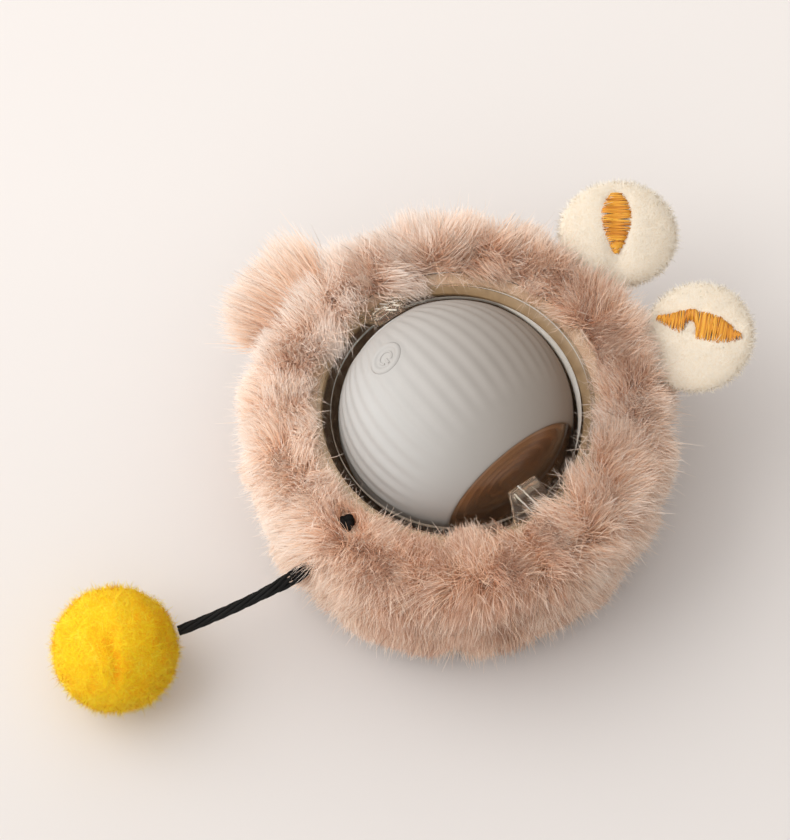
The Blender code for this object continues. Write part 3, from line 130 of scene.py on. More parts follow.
def group(name, scales, stretch=None, **noises):
    """A node group of noises: each has its scale's name or value, its settings and its output."""
    tree = bpy.data.node_groups.new(name, "ShaderNodeTree")
    tree.interface.new_socket(name="Vector", in_out="INPUT", socket_type="NodeSocketVector")
    for title, value in scales.items():
        socket = tree.interface.new_socket(name=title, in_out="INPUT", socket_type="NodeSocketFloat")
        socket.default_value = value
    for title in noises:
        tree.interface.new_socket(name=title, in_out="OUTPUT", socket_type="NodeSocketFloat")
    given, wanted = tree.nodes.new("NodeGroupInput").outputs, tree.nodes.new("NodeGroupOutput").inputs
    for title, (scale, settings) in noises.items():
        where = given["Vector"]
        if stretch and title == "Height":
            where = linked(tree, "ShaderNodeMapping", Vector=where, Scale=stretch).outputs[0]
        source = linked(tree, "ShaderNodeTexNoise", Vector=where, Scale=given[scale] if scale in scales else scale,
                        **settings)
        tree.links.new(source.outputs["Fac"], wanted[title])
    return tree


def placed(tree, source, vector, **values):
    """A group node in a material, with its coordinates and values."""
    return linked(tree, "ShaderNodeGroup", {"node_tree": source}, Vector=vector, **values).outputs


def material(name, colour, roughness, **settings):
    """A Principled material; returns it with its node tree, shader and Object coordinates."""
    made = bpy.data.materials.new(name)
    made.use_nodes = True
    tree = made.node_tree
    shader = tree.nodes["Principled BSDF"]
    shader.inputs["Base Color"].default_value = (*colour, 1)
    shader.inputs["Roughness"].default_value = roughness
    for key, value in settings.items():
        shader.inputs[key.replace("_", " ")].default_value = value
    return made, tree, shader, tree.nodes.new("ShaderNodeTexCoord").outputs["Object"]


def bumped(tree, shader, height, distance, strength=1.0):
    bump = linked(tree, "ShaderNodeBump", Height=height, Distance=distance, Strength=strength)
    fed(tree, shader, Normal=bump.outputs["Normal"])


# %% Shared effects
# Moulded grain: fine pits and slow flow marks, for rubber and plastic.
grain_tree = group("moulded_grain", {"Pit Scale": 9000.0, "Flow Scale": 60.0},
                   Height=("Pit Scale", {"Detail": 2.0, "Roughness": 0.6}),
                   Flow=("Flow Scale", {"Detail": 3.0, "Roughness": 0.55, "Distortion": 0.6}))
# Brushing: noise drawn out along one axis, for turned and rolled metal.
brush_tree = group("brushing", {"Scale": 2500.0}, (1, 1, 0.05),
                   Height=("Scale", {"Detail": 3.0, "Roughness": 0.7}), Stain=(400.0, {"Detail": 3.0}))
# Lint: short crossing fibres, for felt, fleece and yarn.
lint_tree = group("lint", {"Fibre Scale": 2600.0, "Patch Scale": 260.0},
                  Height=("Fibre Scale", {"Detail": 4.0, "Roughness": 0.75, "Distortion": 2.5}),
                  Patch=("Patch Scale", {"Detail": 4.0, "Roughness": 0.6}))
print("node groups:", [tree.name for tree in bpy.data.node_groups])

# %% [markdown]
# ## Light and floor
# One large soft lamp stands low on the left, as the long soft shadows to the right say. A pale sky
# fills the rest, brighter and cooler towards the window. Glass and gloss see it brighter still, as
# they would see a white room. The paper on the floor is painted a little darker towards the front,
# as painted shade where less light reaches.

# %% Light and floor
def lamp(name, place, size, power, colour):
    light = bpy.data.lights.new(name, "AREA")
    light.shape, light.size, light.energy, light.color = "DISK", size, power, colour
    obj = bpy.data.objects.new(name, light)
    scene.collection.objects.link(obj)
    obj.location = place
    obj.rotation_euler = (BALL_CENTRE - Vector(place)).to_track_quat("-Z", "Y").to_euler()


lamp("key_lamp", (-0.76, 0.08, 0.70), 1.20, 5.5, (1.0, 0.985, 0.96))

world = bpy.data.worlds.new("studio")
scene.world = world
world.use_nodes = True
tree = world.node_tree
rays = linked(tree, "ShaderNodeLightPath").outputs
seen = linked(tree, "ShaderNodeMath", {"operation": "MAXIMUM"}, _0=rays["Is Glossy Ray"],
              _1=rays["Is Transmission Ray"]).outputs[0]
to_window = dot_product(tree, linked(tree, "ShaderNodeTexCoord").outputs["Generated"], (-0.78, 0.16, 0.60))
strength = linked(tree, "ShaderNodeMath", {"operation": "MULTIPLY"}, _0=ranged(tree, seen, To_Min=0.665, To_Max=0.90),
                  _1=ranged(tree, to_window, From_Min=-1.0, To_Min=0.26, To_Max=1.72)).outputs[0]
warmth = ranged(tree, to_window, From_Min=-1.0, From_Max=0.35)
fed(tree, tree.nodes["Background"], Strength=strength,
    Color=mixed(tree, warmth, (1.0, 0.86, 0.72, 1), (1.0, 0.985, 0.975, 1)))



def as_mesh(name, bm):
    mesh = bpy.data.meshes.new(name)
    bm.to_mesh(mesh)
    bm.free()
    return mesh


floor_bm = bmesh.new()
bmesh.ops.create_grid(floor_bm, x_segments=1, y_segments=1, size=3.0)
floor_mesh = as_mesh("floor", floor_bm)
floor = bpy.data.objects.new("floor", floor_mesh)
scene.collection.objects.link(floor)
paper, tree, shader, where = material("pale_paper", (0.84, 0.80, 0.775), 0.9)
# Painted shade: the paper is darker towards the front.
split = linked(tree, "ShaderNodeSeparateXYZ", _0=where)
shade = ranged(tree, split.outputs["Y"], From_Min=-0.09, From_Max=0.06)
fed(tree, shader, Base_Color=mixed(tree, shade, (0.76, 0.725, 0.705, 1), (0.84, 0.80, 0.775, 1)))
floor_mesh.materials.append(paper)
print("floor and lamp")

# %% Hard finishes
FINISHES = {}


def finish(name, low, high, roughness, effect, patch, bump, gloss=None, band=(0.35, 0.65), relief="Height",
           scales=None, shade=1.0, **settings):
    """A material under a shared effect. Its patches mix two close colours, and gloss says which
    output leads the roughness between which shares. To lamps it is open where shade is under 1."""
    made, tree, shader, where = material(name, low, roughness, **settings)
    out = placed(tree, effect, where, **(scales or {}))
    if high is not None:
        fed(tree, shader, Base_Color=ramp(tree, out[patch], ((band[0], low), (band[1], high))))
    if gloss:
        leader, least, most = gloss
        fed(tree, shader, Roughness=ranged(tree, out[leader], To_Min=roughness * least,
                                           To_Max=min(1.0, roughness * most)))
    bumped(tree, shader, out[relief], *bump)
    if shade < 1:
        let_through(tree, shader, shade)
    FINISHES[name] = made
    return made, tree, shader, where


def let_through(tree, shader, shade):
    """Clear plastic, thin cloth and hair pass on part of the light that falls on them."""
    rays = tree.nodes.new("ShaderNodeLightPath").outputs
    fed(tree, shader, Alpha=ranged(tree, rays["Is Shadow Ray"], To_Min=1.0, To_Max=shade))


def hard_finish(slot, low, high, roughness, height=0.00001, **settings):
    """Moulded plastic or rubber."""
    return finish(slot, low, high, roughness, grain_tree, "Flow", (height, 0.5), ("Flow", 0.9, 1.12), **settings)


made, tree, shader, where = hard_finish("silicone", (0.50, 0.488, 0.47), (0.53, 0.518, 0.50), 0.56, 0.000012)
# Painted shade: the silicone is painted darker and warmer on the window's side, the side turned away from the lamp.
to_window = ranged(tree, dot_product(tree, where, (42.0, 20.0, -6.0)), From_Min=-1.0, From_Max=1.05)
plain = shader.inputs["Base Color"].links[0].from_socket
painted_shade_colour = mixed(tree, 1.0, plain, (0.45, 0.34, 0.25, 1), "MULTIPLY")
fed(tree, shader, Base_Color=mixed(tree, to_window, plain, painted_shade_colour))
# The reflector is painted dull brown, darker than its white plastic, as painted shade of the dim space behind the
# smoked window.
hard_finish("dull_reflector", (0.42, 0.345, 0.265), (0.50, 0.42, 0.33), 0.45)
hard_finish("shell_plastic", (0.70, 0.69, 0.67), (0.74, 0.73, 0.71), 0.42)
hard_finish("dark_plastic", (0.022, 0.02, 0.019), (0.034, 0.031, 0.029), 0.42)
hard_finish("gear_plastic", (0.84, 0.82, 0.76), (0.88, 0.86, 0.80), 0.38)
hard_finish("battery_wrap", (0.05, 0.14, 0.40), (0.07, 0.18, 0.46), 0.32, Coat_Weight=0.3)
hard_finish("lead_red", (0.50, 0.015, 0.015), (0.58, 0.025, 0.02), 0.42)
hard_finish("lead_black", (0.016, 0.016, 0.016), (0.026, 0.025, 0.025), 0.42)
hard_finish("lamp_epoxy", (0.90, 0.86, 0.58), (0.94, 0.90, 0.66), 0.22, Coat_Weight=0.4)


for slot, low, high, roughness in (("steel", (0.54, 0.54, 0.54), (0.63, 0.63, 0.62), 0.27),
                                   ("zinc", (0.38, 0.38, 0.40), (0.47, 0.47, 0.49), 0.45),
                                   ("brass", (0.68, 0.47, 0.18), (0.76, 0.56, 0.26), 0.30)):
    finish(slot, low, high, roughness, brush_tree, "Stain", (0.000006, 0.5), ("Height", 0.75, 1.25), Metallic=1.0)

board, tree, shader, where = material("circuit_green", (0.03, 0.19, 0.08), 0.4)
tracks = linked(tree, "ShaderNodeTexVoronoi", {"distance": "CHEBYCHEV", "feature": "F1"},
                Vector=where, Scale=520.0)
mask = ramp(tree, tracks.outputs["Distance"], ((0.30, (0, 0, 0)), (0.36, (1, 1, 1))))
fed(tree, shader, Base_Color=mixed(tree, mask, (0.045, 0.24, 0.10, 1), (0.018, 0.13, 0.05, 1)))
bumped(tree, shader, mask, 0.00003, 0.6)
FINISHES["circuit_green"] = board
print("hard finishes:", sorted(FINISHES))

# %% [markdown]
# ## Clear and smoked plastic
# The bowl and its ring are clear mouldings, and the ball's window is smoky brown. Both are glass
# to the camera. To the lamps they are nearly open, by Is Shadow Ray in Alpha, so that what lies
# behind them is lit without the grain of caustics. Clear walls seen steeply swallow light, so the
# ring's wall and collar are painted amber and only partly clear: a painted reflection of the golden
# fur that clear plastic shows. The lip, a bead and the tongues' ribs carry painted highlights.

# %% Clear finishes
for slot, colour, roughness, shade, specular in (("clear_plastic", (0.985, 0.935, 0.85), 0.05, 0.06, 0.4),
                                                 ("smoked_plastic", (0.76, 0.54, 0.37), 0.10, 0.56, 0.2)):
    finish(slot, colour, None, roughness, grain_tree, None, (0.00004, 0.25), ("Flow", 0.5, 1.6), relief="Flow",
           scales={"Pit_Scale": 3500.0, "Flow_Scale": 140.0}, shade=shade, Transmission_Weight=0.975, IOR=1.36,
           Specular_IOR_Level=specular)
# The lip, the bead and the ribs on the tongues are painted highlights: a pale, mostly matte finish
# stands for the light they catch. The ring's wall and collar are painted amber, a painted reflection of the fur.
for name, low, high, clear in (("unpolished_edge", (0.95, 0.90, 0.80), (0.99, 0.96, 0.90), 0.25),
                               ("amber_edge", (0.52, 0.34, 0.18), (0.72, 0.51, 0.29), 0.35)):
    finish(name, low, high, 0.3, grain_tree, "Flow", (0.00002, 0.4), band=(0.3, 0.7),
           scales={"Pit_Scale": 5000.0, "Flow_Scale": 300.0}, Transmission_Weight=clear)
print("clear finishes made")

# %% [markdown]
# ## Making pieces
# Round parts are spun from a profile, as a lathe or a mould makes them. Bars, tongues and stitches
# are grids whose corners are moved into place. Every finished piece is written with its place in
# its mesh, rides on a body of the frame and stands for the solid that it refines.

# %% Helpers for pieces
def facing_out(bm):
    bmesh.ops.recalc_face_normals(bm, faces=bm.faces[:])
    return bm


def trodden(points):
    """The way covered along a line at each of its points."""
    return np.concatenate([[0], np.cumsum(np.linalg.norm(np.diff(points, axis=0), axis=1))])


def spun(profile, steps, close=True):
    """A round form about Z from (radius, height) points; close joins the last to the first."""
    bm = bmesh.new()
    verts = [bm.verts.new((r, 0, z)) for r, z in profile]
    pairs = list(zip(verts, verts[1:])) + ([(verts[-1], verts[0])] if close else [])
    edges = [bm.edges.new(pair) for pair in pairs]
    bmesh.ops.spin(bm, geom=verts + edges, cent=(0, 0, 0), axis=(0, 0, 1), angle=math.tau,
                   steps=steps, use_merge=True, use_duplicate=False)
    bmesh.ops.remove_doubles(bm, verts=bm.verts[:], dist=1e-6)
    return facing_out(bm)


def eased(points, radius, steps=4):
    """A closed profile with its corners rounded by radius, or by each corner's own value."""
    made = []
    for index, point in enumerate(points):
        here = Vector(point[:2])
        size = point[2] if len(point) > 2 else radius
        before, after = Vector(points[index - 1][:2]), Vector(points[(index + 1) % len(points)][:2])
        size = min(size, (before - here).length * 0.49, (after - here).length * 0.49)
        if size < 1e-6 or here.x < 1e-6:
            made.append(tuple(here))
            continue
        start = here + (before - here).normalized() * size
        end = here + (after - here).normalized() * size
        for step in range(steps + 1):
            t = step / steps
            made.append(tuple(start * (1 - t) ** 2 + here * 2 * t * (1 - t) + end * t * t))
    return made


def arc(radius, start, end, steps):
    """Points on a circle about the origin, by angle from +Z."""
    return [(radius * math.sin(start + (end - start) * i / steps),
             radius * math.cos(start + (end - start) * i / steps)) for i in range(steps + 1)]


def as_object(name, bm, smooth=40):
    mesh = as_mesh(name, bm)
    mesh.shade_smooth()
    if smooth < 180:
        mesh.set_sharp_from_angle(angle=math.radians(smooth))
    obj = bpy.data.objects.new(name, mesh)
    scene.collection.objects.link(obj)
    return obj


def carved(bm, cutter, operation="DIFFERENCE"):
    """bm after an exact Boolean with cutter; both bmeshes are used up."""
    first, second = as_object("blank", bm, 180), as_object("cutter", cutter, 180)
    step = first.modifiers.new("carve", "BOOLEAN")
    step.operation, step.solver, step.object = operation, "EXACT", second
    bpy.context.view_layer.update()
    result = bmesh.new()
    result.from_object(first, bpy.context.evaluated_depsgraph_get())
    for obj in (first, second):
        bpy.data.objects.remove(obj)
    return result


def worn(obj, slot, body, finish=None):
    """Gives a finished mesh the material of its finish, or of its slot, and the body that it rides."""
    obj.data.materials.clear()
    obj.data.materials.append(FINISHES[finish or slot])
    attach(obj, body)
    return obj


def moved(bm, matrix):
    bmesh.ops.transform(bm, matrix=matrix, verts=bm.verts[:])
    return bm


def turned(bm, degrees):
    return moved(bm, Matrix.Rotation(math.radians(degrees), 4, "Z"))


def circle(radius, angles, height):
    """Points on a level circle, or at a radius and a height for each angle."""
    return np.stack([radius * np.cos(angles), radius * np.sin(angles), height + 0 * angles], 1)


def dress(name, bm, slot, body, *stands_for, place=None, smooth=40, finish=None):
    """Writes a bmesh as a finished piece of the object."""
    if place is not None:
        moved(bm, place)
    obj = worn(as_object(name, bm, smooth), slot, body, finish)
    if stands_for:
        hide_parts(*stands_for)
    print(name, len(obj.data.polygons), "faces")
    return obj


def lengths(vectors):
    return np.linalg.norm(vectors, axis=-1, keepdims=True)


def points_of(bm):
    return np.array([v.co[:] for v in bm.verts], float)


def move_points(bm, places):
    for vert, spot in zip(bm.verts, places):
        vert.co = spot


# %% [markdown]
# ## The ball's skin
# The skin is one silicone moulding, 43 mm across, open at the window and at the charging cap. Its
# 46 soft ribs run along the meridians and fade out before the window. It could be sculpted, but a
# spin with eight steps to each rib lets a cosine sink the furrows evenly.

# %% Ball frame and skin
BALL_RADIUS, SKIN_WALL = 0.0215, 0.0015
WINDOW_ANGLE, CAP_ANGLE = math.radians(42.5), math.radians(28.0)
RIB_COUNT, RIB_DEPTH = 46, 0.00022
BALL = (Matrix.Translation(BALL_CENTRE) @ Matrix.Rotation(math.radians(-50.7), 4, "Z")
        @ Matrix.Rotation(math.radians(90), 4, "Y") @ Matrix.Rotation(math.radians(-156.9), 4, "Z"))
TO_BUTTON = Matrix.Rotation(math.radians(123.5), 4, "Y")
BUTTON_RADIUS = 0.0034

half_wall = SKIN_WALL / 2
middle = BALL_RADIUS - half_wall
edge = half_wall / middle
first, last = WINDOW_ANGLE + edge, math.pi - CAP_ANGLE - edge


def rolled_edge(end, side):
    """The rounded edge from one face of the skin to the other at an end of its arc."""
    turns = [math.pi / 8 * i for i in range(1, 8)]
    edge_points = [(middle + side * half_wall * math.cos(a), end + side * edge * math.sin(a)) for a in turns]
    return [(r * math.sin(t), r * math.cos(t)) for r, t in edge_points]


profile = (arc(BALL_RADIUS, first, last, 64) + rolled_edge(last, 1)
           + arc(BALL_RADIUS - SKIN_WALL, last, first, 20) + rolled_edge(first, -1))
skin = spun(profile, RIB_COUNT * 8)

places = points_of(skin)
length = np.linalg.norm(places, axis=1)
from_window = np.degrees(np.arccos(places[:, 2] / length))
round_about = np.arctan2(places[:, 1], places[:, 0])
share = np.clip((from_window - 60) / 22, 0, 1) * np.clip((149 - from_window) / 12, 0, 1)
share = share * share * (3 - 2 * share)
furrow = 0.5 - 0.5 * np.cos(RIB_COUNT * round_about)
sunk = np.where(length > middle, RIB_DEPTH * share * furrow, 0)
# The furrows stop short of the button, where the skin swells into a low collar.
button_axis = TO_BUTTON.to_3x3() @ Vector((0, 0, 1))
from_button = np.degrees(np.arccos(np.clip(places @ np.array(button_axis) / length, -1, 1)))
sunk *= np.clip((from_button - 9.6) / 1.6, 0, 1)
places *= ((length - sunk) / length)[:, None]
move_points(skin, places)

hole = spun([(0, 0.019), (BUTTON_RADIUS - 0.00002, 0.019), (BUTTON_RADIUS - 0.00002, 0.024), (0, 0.024)],
            64, close=False)
dress("ball_skin", carved(skin, moved(hole, TO_BUTTON)), "silicone", "ball", "silicone_skin", place=BALL, smooth=50)

# %% [markdown]
# ## Power button
# The button is a disc of the same silicone with a raised rim and a power symbol: a ring with a
# gap, and a bar in the gap. The disc is spun; the symbol is a swept tube laid into its face.

# %% Swept tubes
def swept(path, radius, around=10):
    """A closed tube along a path: a grid wrapped round it, with its ends drawn in."""
    path = np.asarray(path, float)
    along = len(path) - 1
    bm = bmesh.new()
    bmesh.ops.create_grid(bm, x_segments=around, y_segments=along + 2, size=0.5)
    flat = points_of(bm)
    turn_share = flat[:, 0] + 0.5
    row = np.rint((flat[:, 1] + 0.5) * (along + 2)).astype(int)
    ends = (row == 0) | (row == along + 2)
    station = np.clip(row - 1, 0, along)
    tangent = np.gradient(path, axis=0)
    tangent /= lengths(tangent)
    side, sides = np.cross(tangent[0], (0.31, 0.17, 0.93)), []
    for direction in tangent:
        side = side - direction * (side @ direction)
        side = side / np.linalg.norm(side)
        sides.append(side)
    sides = np.array(sides)
    over = np.cross(tangent, sides)
    size = np.broadcast_to(np.asarray(radius, float), (along + 1,))[station] * np.where(ends, 0.0, 1.0)
    spin_angle = turn_share * math.tau
    spots = (path[station] + sides[station] * (np.cos(spin_angle) * size)[:, None]
             + over[station] * (np.sin(spin_angle) * size)[:, None])
    move_points(bm, spots)
    bmesh.ops.remove_doubles(bm, verts=bm.verts[:], dist=1e-7)
    return facing_out(bm)


def gathered(parts):
    """One bmesh that holds all the parts."""
    whole = bmesh.new()
    for part in parts:
        mesh = as_mesh("part", part)
        whole.from_mesh(mesh)
        bpy.data.meshes.remove(mesh)
    return whole


# %% Power button
face_z = math.sqrt(BALL_RADIUS ** 2 - BUTTON_RADIUS ** 2) + 0.00012
disc = spun(eased([(0, face_z - 0.00006), (BUTTON_RADIUS - 0.0014, face_z - 0.00010, 0.0003),
                   (BUTTON_RADIUS - 0.00098, face_z + 0.00024, 0.0004),
                   (BUTTON_RADIUS - 0.00042, face_z + 0.00024, 0.0004),
                   (BUTTON_RADIUS - 0.00006, face_z - 0.00008, 0.0001),
                   (BUTTON_RADIUS - 0.00003, 0.0200), (0.0022, 0.0200), (0.0022, 0.01795), (0, 0.01795)],
                  0.0001), 96)
GAP_HALF = math.radians(35)
ring = [(-0.00135 * math.cos(a), 0.00135 * math.sin(a), face_z - 0.00009)
        for a in np.linspace(GAP_HALF, math.tau - GAP_HALF, 49)]
bar = [(-0.00135 * t, 0, face_z - 0.00009) for t in np.linspace(0.25, 1.25, 7)]
parts = [disc, swept(ring, 0.00022, 14), swept(bar, 0.00022, 14)]
dress("button", gathered(parts), "silicone", "button", "power_button", place=BALL @ TO_BUTTON)

# %% [markdown]
# ## Window and reflector
# The window is a thin cap of smoked plastic, flush with the skin. Behind it sits a reflector with
# moulded rings, which show as arcs through the smoke. Both are spun. The cap opposite holds the
# charging slot, which is cut from the spun cap with a rounded bar.

# %% Window, reflector and cap
LENS_INNER, LENS_OUTER = 0.0200, 0.02128
lens_angle = WINDOW_ANGLE + 0.0002 / LENS_OUTER
lens = spun(arc(LENS_OUTER, 0, lens_angle, 24) + arc(LENS_INNER, lens_angle, 0, 24), 128)
dress("window", lens, "smoked_plastic", "ball", "window_lens", place=BALL)

R, FACE, FOOT, STEP = 0.0112, 0.0149, 0.0121, 0.0005
face = [(share * R, FACE + STEP * raised) for share, raised in (
    (0, 1), (0.20, 1), (0.22, 0), (0.42, 0), (0.43, 1), (0.48, 1), (0.49, 0), (0.66, 0), (0.67, 1), (0.72, 1),
    (0.73, 0), (0.90, 0), (0.91, 1), (0.97, 1))]
reflector = spun(eased(face + [(R, FACE + 0.0001), (0.0124, FACE - 0.0010), (0.0124, FOOT), (0.0117, FOOT),
                               (R - 0.0007, FACE - 0.0007), (0, FACE - 0.0007)], 0.00012, 3), 128)
# The reflector wears the painted shade finish.
dress("light_reflector", reflector, "shell_plastic", "ball", "reflector", place=BALL, finish="dull_reflector")

cap_angle = CAP_ANGLE - 0.0003 / LENS_OUTER
cap = spun(arc(LENS_OUTER, math.pi, math.pi - cap_angle, 16)
           + arc(LENS_INNER, math.pi - cap_angle, math.pi, 16), 96)
slot_bm = bmesh.new()
bmesh.ops.create_cube(slot_bm, size=1.0, matrix=Matrix.Translation((0, 0, -0.0205))
                      @ Matrix.Diagonal((0.0096, 0.0039, 0.004, 1)))
upright = [e for e in slot_bm.edges if abs(e.verts[0].co.z - e.verts[1].co.z) > 0.001]
bmesh.ops.bevel(slot_bm, geom=upright, offset=0.0019, segments=10, profile=0.5, affect="EDGES",
                material=-1)
dress("charging_cap", carved(cap, slot_bm), "shell_plastic", "ball", "port_cap", place=BALL, smooth=30)

# %% [markdown]
# ## Bowl
# The bowl is a clear hemisphere with a flat flange that the fur cover grips. One spin makes it,
# with eased corners that catch the light as moulded edges do. The cord's hole is cut afterwards.

# %% Bowl
BOWL_Z, BOWL_IN, BOWL_OUT = 0.0330, 0.0260, 0.0276
RIM_Z, FLANGE_R, FLANGE_UNDER = 0.0314, 0.0325, 0.0296
KNOT = Vector((0.03 * math.cos(math.radians(228.5)), 0.03 * math.sin(math.radians(228.5)), 0))
rim_angle = math.acos((RIM_Z - BOWL_Z) / BOWL_IN)
under_angle = math.acos((FLANGE_UNDER - BOWL_Z) / BOWL_OUT)
profile = [(r, z + BOWL_Z) for r, z in arc(BOWL_IN, math.pi, rim_angle, 40)]
profile += [(r, z) for r, z in eased([(BOWL_IN, RIM_Z), (FLANGE_R, RIM_Z), (FLANGE_R, FLANGE_UNDER),
                                      (BOWL_OUT, FLANGE_UNDER)], 0.00035)[5:15]]
profile += [(r, z + BOWL_Z) for r, z in arc(BOWL_OUT, under_angle, math.pi, 40)]
bowl = spun(profile, 160)
hole = spun([(0, 0.028), (0.0014, 0.028), (0.0014, 0.033), (0, 0.033)], 24, close=False)
dress("bowl", carved(bowl, moved(hole, Matrix.Translation(KNOT))), "clear_plastic", "holder", "clear_bowl")

# %% [markdown]
# ## Retaining ring
# A clear ring snaps into the bowl's mouth. Its two tongues reach over the ball's shoulder, so that
# it can roll but not jump out. The flange, the amber wall and collar and the lip are spun, each
# tongue is a box narrowed row by row, and a Boolean melts the tongues into the flange, because
# inner walls would show in clear plastic.

# %% Retaining ring
SEAT, RING_TOP, RING_FOOT = 0.0317, 0.0329, 0.0293
RING_IN, RING_OUT, RING_FLANGE = 0.02464, 0.02544, 0.0275
LIP_IN, LIP_OUT = 0.0218, 0.0229
PLAY = 0.00003
ring = spun(eased([(RING_IN, RING_TOP), (RING_FLANGE, RING_TOP), (RING_FLANGE, SEAT), (RING_IN, SEAT)],
                  0.00028), 192)
wall = spun(eased([(RING_IN, SEAT - PLAY), (RING_OUT, SEAT - PLAY), (RING_OUT, RING_FOOT), (RING_IN, RING_FOOT)],
                  0.00012), 192)
collar = spun(eased([(LIP_OUT, 0.0308), (LIP_OUT, 0.0317), (RING_IN - PLAY, 0.0327), (RING_IN - PLAY, 0.0316)],
                    0.0002), 192)
lip = spun(eased([(LIP_IN, 0.0309), (LIP_IN, 0.0316), (LIP_OUT - 0.00002, 0.0319), (LIP_OUT - 0.00002, 0.0307)],
                 0.0003), 192)


def drawn_in(bm, outer, middle, half, least):
    """Narrows a round piece towards its outer radius away from an azimuth, down to a least share."""
    places = points_of(bm)
    radius = lengths(places[:, :2])[:, 0]
    off = np.abs((np.degrees(np.arctan2(places[:, 1], places[:, 0])) - middle + 180) % 360 - 180)
    share = least + (1 - least) * np.where(off < half, np.cos(np.radians(off / half * 90)), 0) ** 0.8
    places[:, :2] *= ((outer - (outer - radius) * share) / radius)[:, None]
    move_points(bm, places)


# The lip and the collar are widest at the right, and only lines at the left, so that their painted
# highlight and painted amber show on the side that faces the lamp.
drawn_in(lip, LIP_OUT, 25, 45, 0.07)
drawn_in(collar, RING_IN - PLAY, 35, 85, 0.14)
# A bead along the ring's top edge is a painted highlight.
highlight_arc = np.radians(np.linspace(12, 84, 61))
highlight_parts = [lip, swept(circle(0.0246, highlight_arc, RING_TOP), 0.00002 + 0.00011 * np.sin(np.linspace(0, math.pi, 61)), 8)]


def tongue():
    """A tongue at azimuth 0: a bar that narrows towards its tip, with a step across the tip."""
    root, tip = Vector((0.02504, 0, 0.03225)), Vector((0.0204, 0, 0.03715))
    lengthwise = (tip - root).normalized()
    upward = Vector((0, 1, 0)).cross(lengthwise) * -1
    if upward.z < 0:
        upward = -upward
    bm = bmesh.new()
    bmesh.ops.create_cube(bm, size=1.0)
    bmesh.ops.subdivide_edges(bm, edges=[e for e in bm.edges if abs(e.verts[0].co.x - e.verts[1].co.x) > 0.5],
                              cuts=7, use_grid_fill=True)
    spots = []
    for x, y, z in points_of(bm):
        t = x + 0.5
        width = 0.0110 - 0.0052 * t ** 0.5
        spots.append(root.lerp(tip, t) + Vector((0, y * width, 0)) + upward * z * 0.0013)
    move_points(bm, spots)
    step = bmesh.new()
    bmesh.ops.create_cube(step, size=1.0)
    move_points(step, [tip + lengthwise * (0.0018 * (x - 0.5) - 0.0004) + Vector((0, y * 0.0054, 0))
                       + upward * (z + 0.5) * 0.00155 for x, y, z in points_of(step)])
    whole = carved(facing_out(bm), facing_out(step), "UNION")
    bmesh.ops.dissolve_limit(whole, angle_limit=0.01, verts=whole.verts[:], edges=whole.edges[:])
    sharp = [e for e in whole.edges if len(e.link_faces) == 2 and e.calc_face_angle() > 0.5]
    bmesh.ops.bevel(whole, geom=sharp, offset=0.00022, segments=2, profile=0.5, affect="EDGES",
                    material=-1, clamp_overlap=True)
    return whole


for azimuth in (-55, 125):
    ring = carved(ring, turned(tongue(), azimuth), "UNION")
    for start, end in (((0.02045, -0.0010), (0.0243, 0.0009)), ((0.0212, -0.0022), (0.0249, -0.0005))):
        path = [(r, side, 0.03322 + 1.056 * (0.02504 - r)) for r, side in np.linspace(start, end, 7)]
        highlight_parts.append(turned(swept(path, 0.00016, 8), azimuth))
dress("snap_ring", ring, "clear_plastic", "ring", "retaining_ring", smooth=30)
# The lip, the bead and the ribs wear the painted highlight; the collar and wall the painted amber reflection.
dress("ring_lip", gathered(highlight_parts), "clear_plastic", "ring", finish="unpolished_edge")
dress("ring_collar", gathered([collar, wall]), "clear_plastic", "ring", finish="amber_edge")

# %% [markdown]
# ## Fibre finishes
# Fur, fleece and felt are made of real strands, so their colour belongs to the strand: dark at the
# root, partly as painted shade deep in the pile, pale at the tip, and a little different from one
# to the next. Each mesh stores how far along a strand a point is, and a tone for the whole strand.

# %% Strand finishes
def strand_finish(name, stops, dark, pale, roughness, sheen, shade, specular=0.5):
    """Colour from root to tip by stops, pulled to dark or pale by the strand's own tone."""
    made, tree, shader, where = material(name, stops[-1][1], roughness, Sheen_Weight=sheen,
                                         Sheen_Roughness=0.5, Specular_IOR_Level=specular)
    shader.inputs["Sheen Tint"].default_value = (*pale, 1)
    along = linked(tree, "ShaderNodeAttribute", {"attribute_name": "along"}).outputs["Fac"]
    tone = linked(tree, "ShaderNodeAttribute", {"attribute_name": "tone"}).outputs["Fac"]
    colour = ramp(tree, along, stops)
    low = ranged(tree, tone, From_Min=0.45, From_Max=0.0, To_Max=0.75)
    colour = mixed(tree, low, colour, (*dark, 1), "MULTIPLY")
    lift = ranged(tree, tone, From_Min=0.55, From_Max=1.0, To_Max=0.8)
    high = linked(tree, "ShaderNodeMath", {"operation": "MULTIPLY"}, _0=lift, _1=along)
    fed(tree, shader, Base_Color=mixed(tree, high.outputs["Value"], colour, (*pale, 1)),
        Roughness=ranged(tree, tone, To_Min=roughness, To_Max=roughness * 0.85))
    let_through(tree, shader, shade)
    FINISHES[name] = made


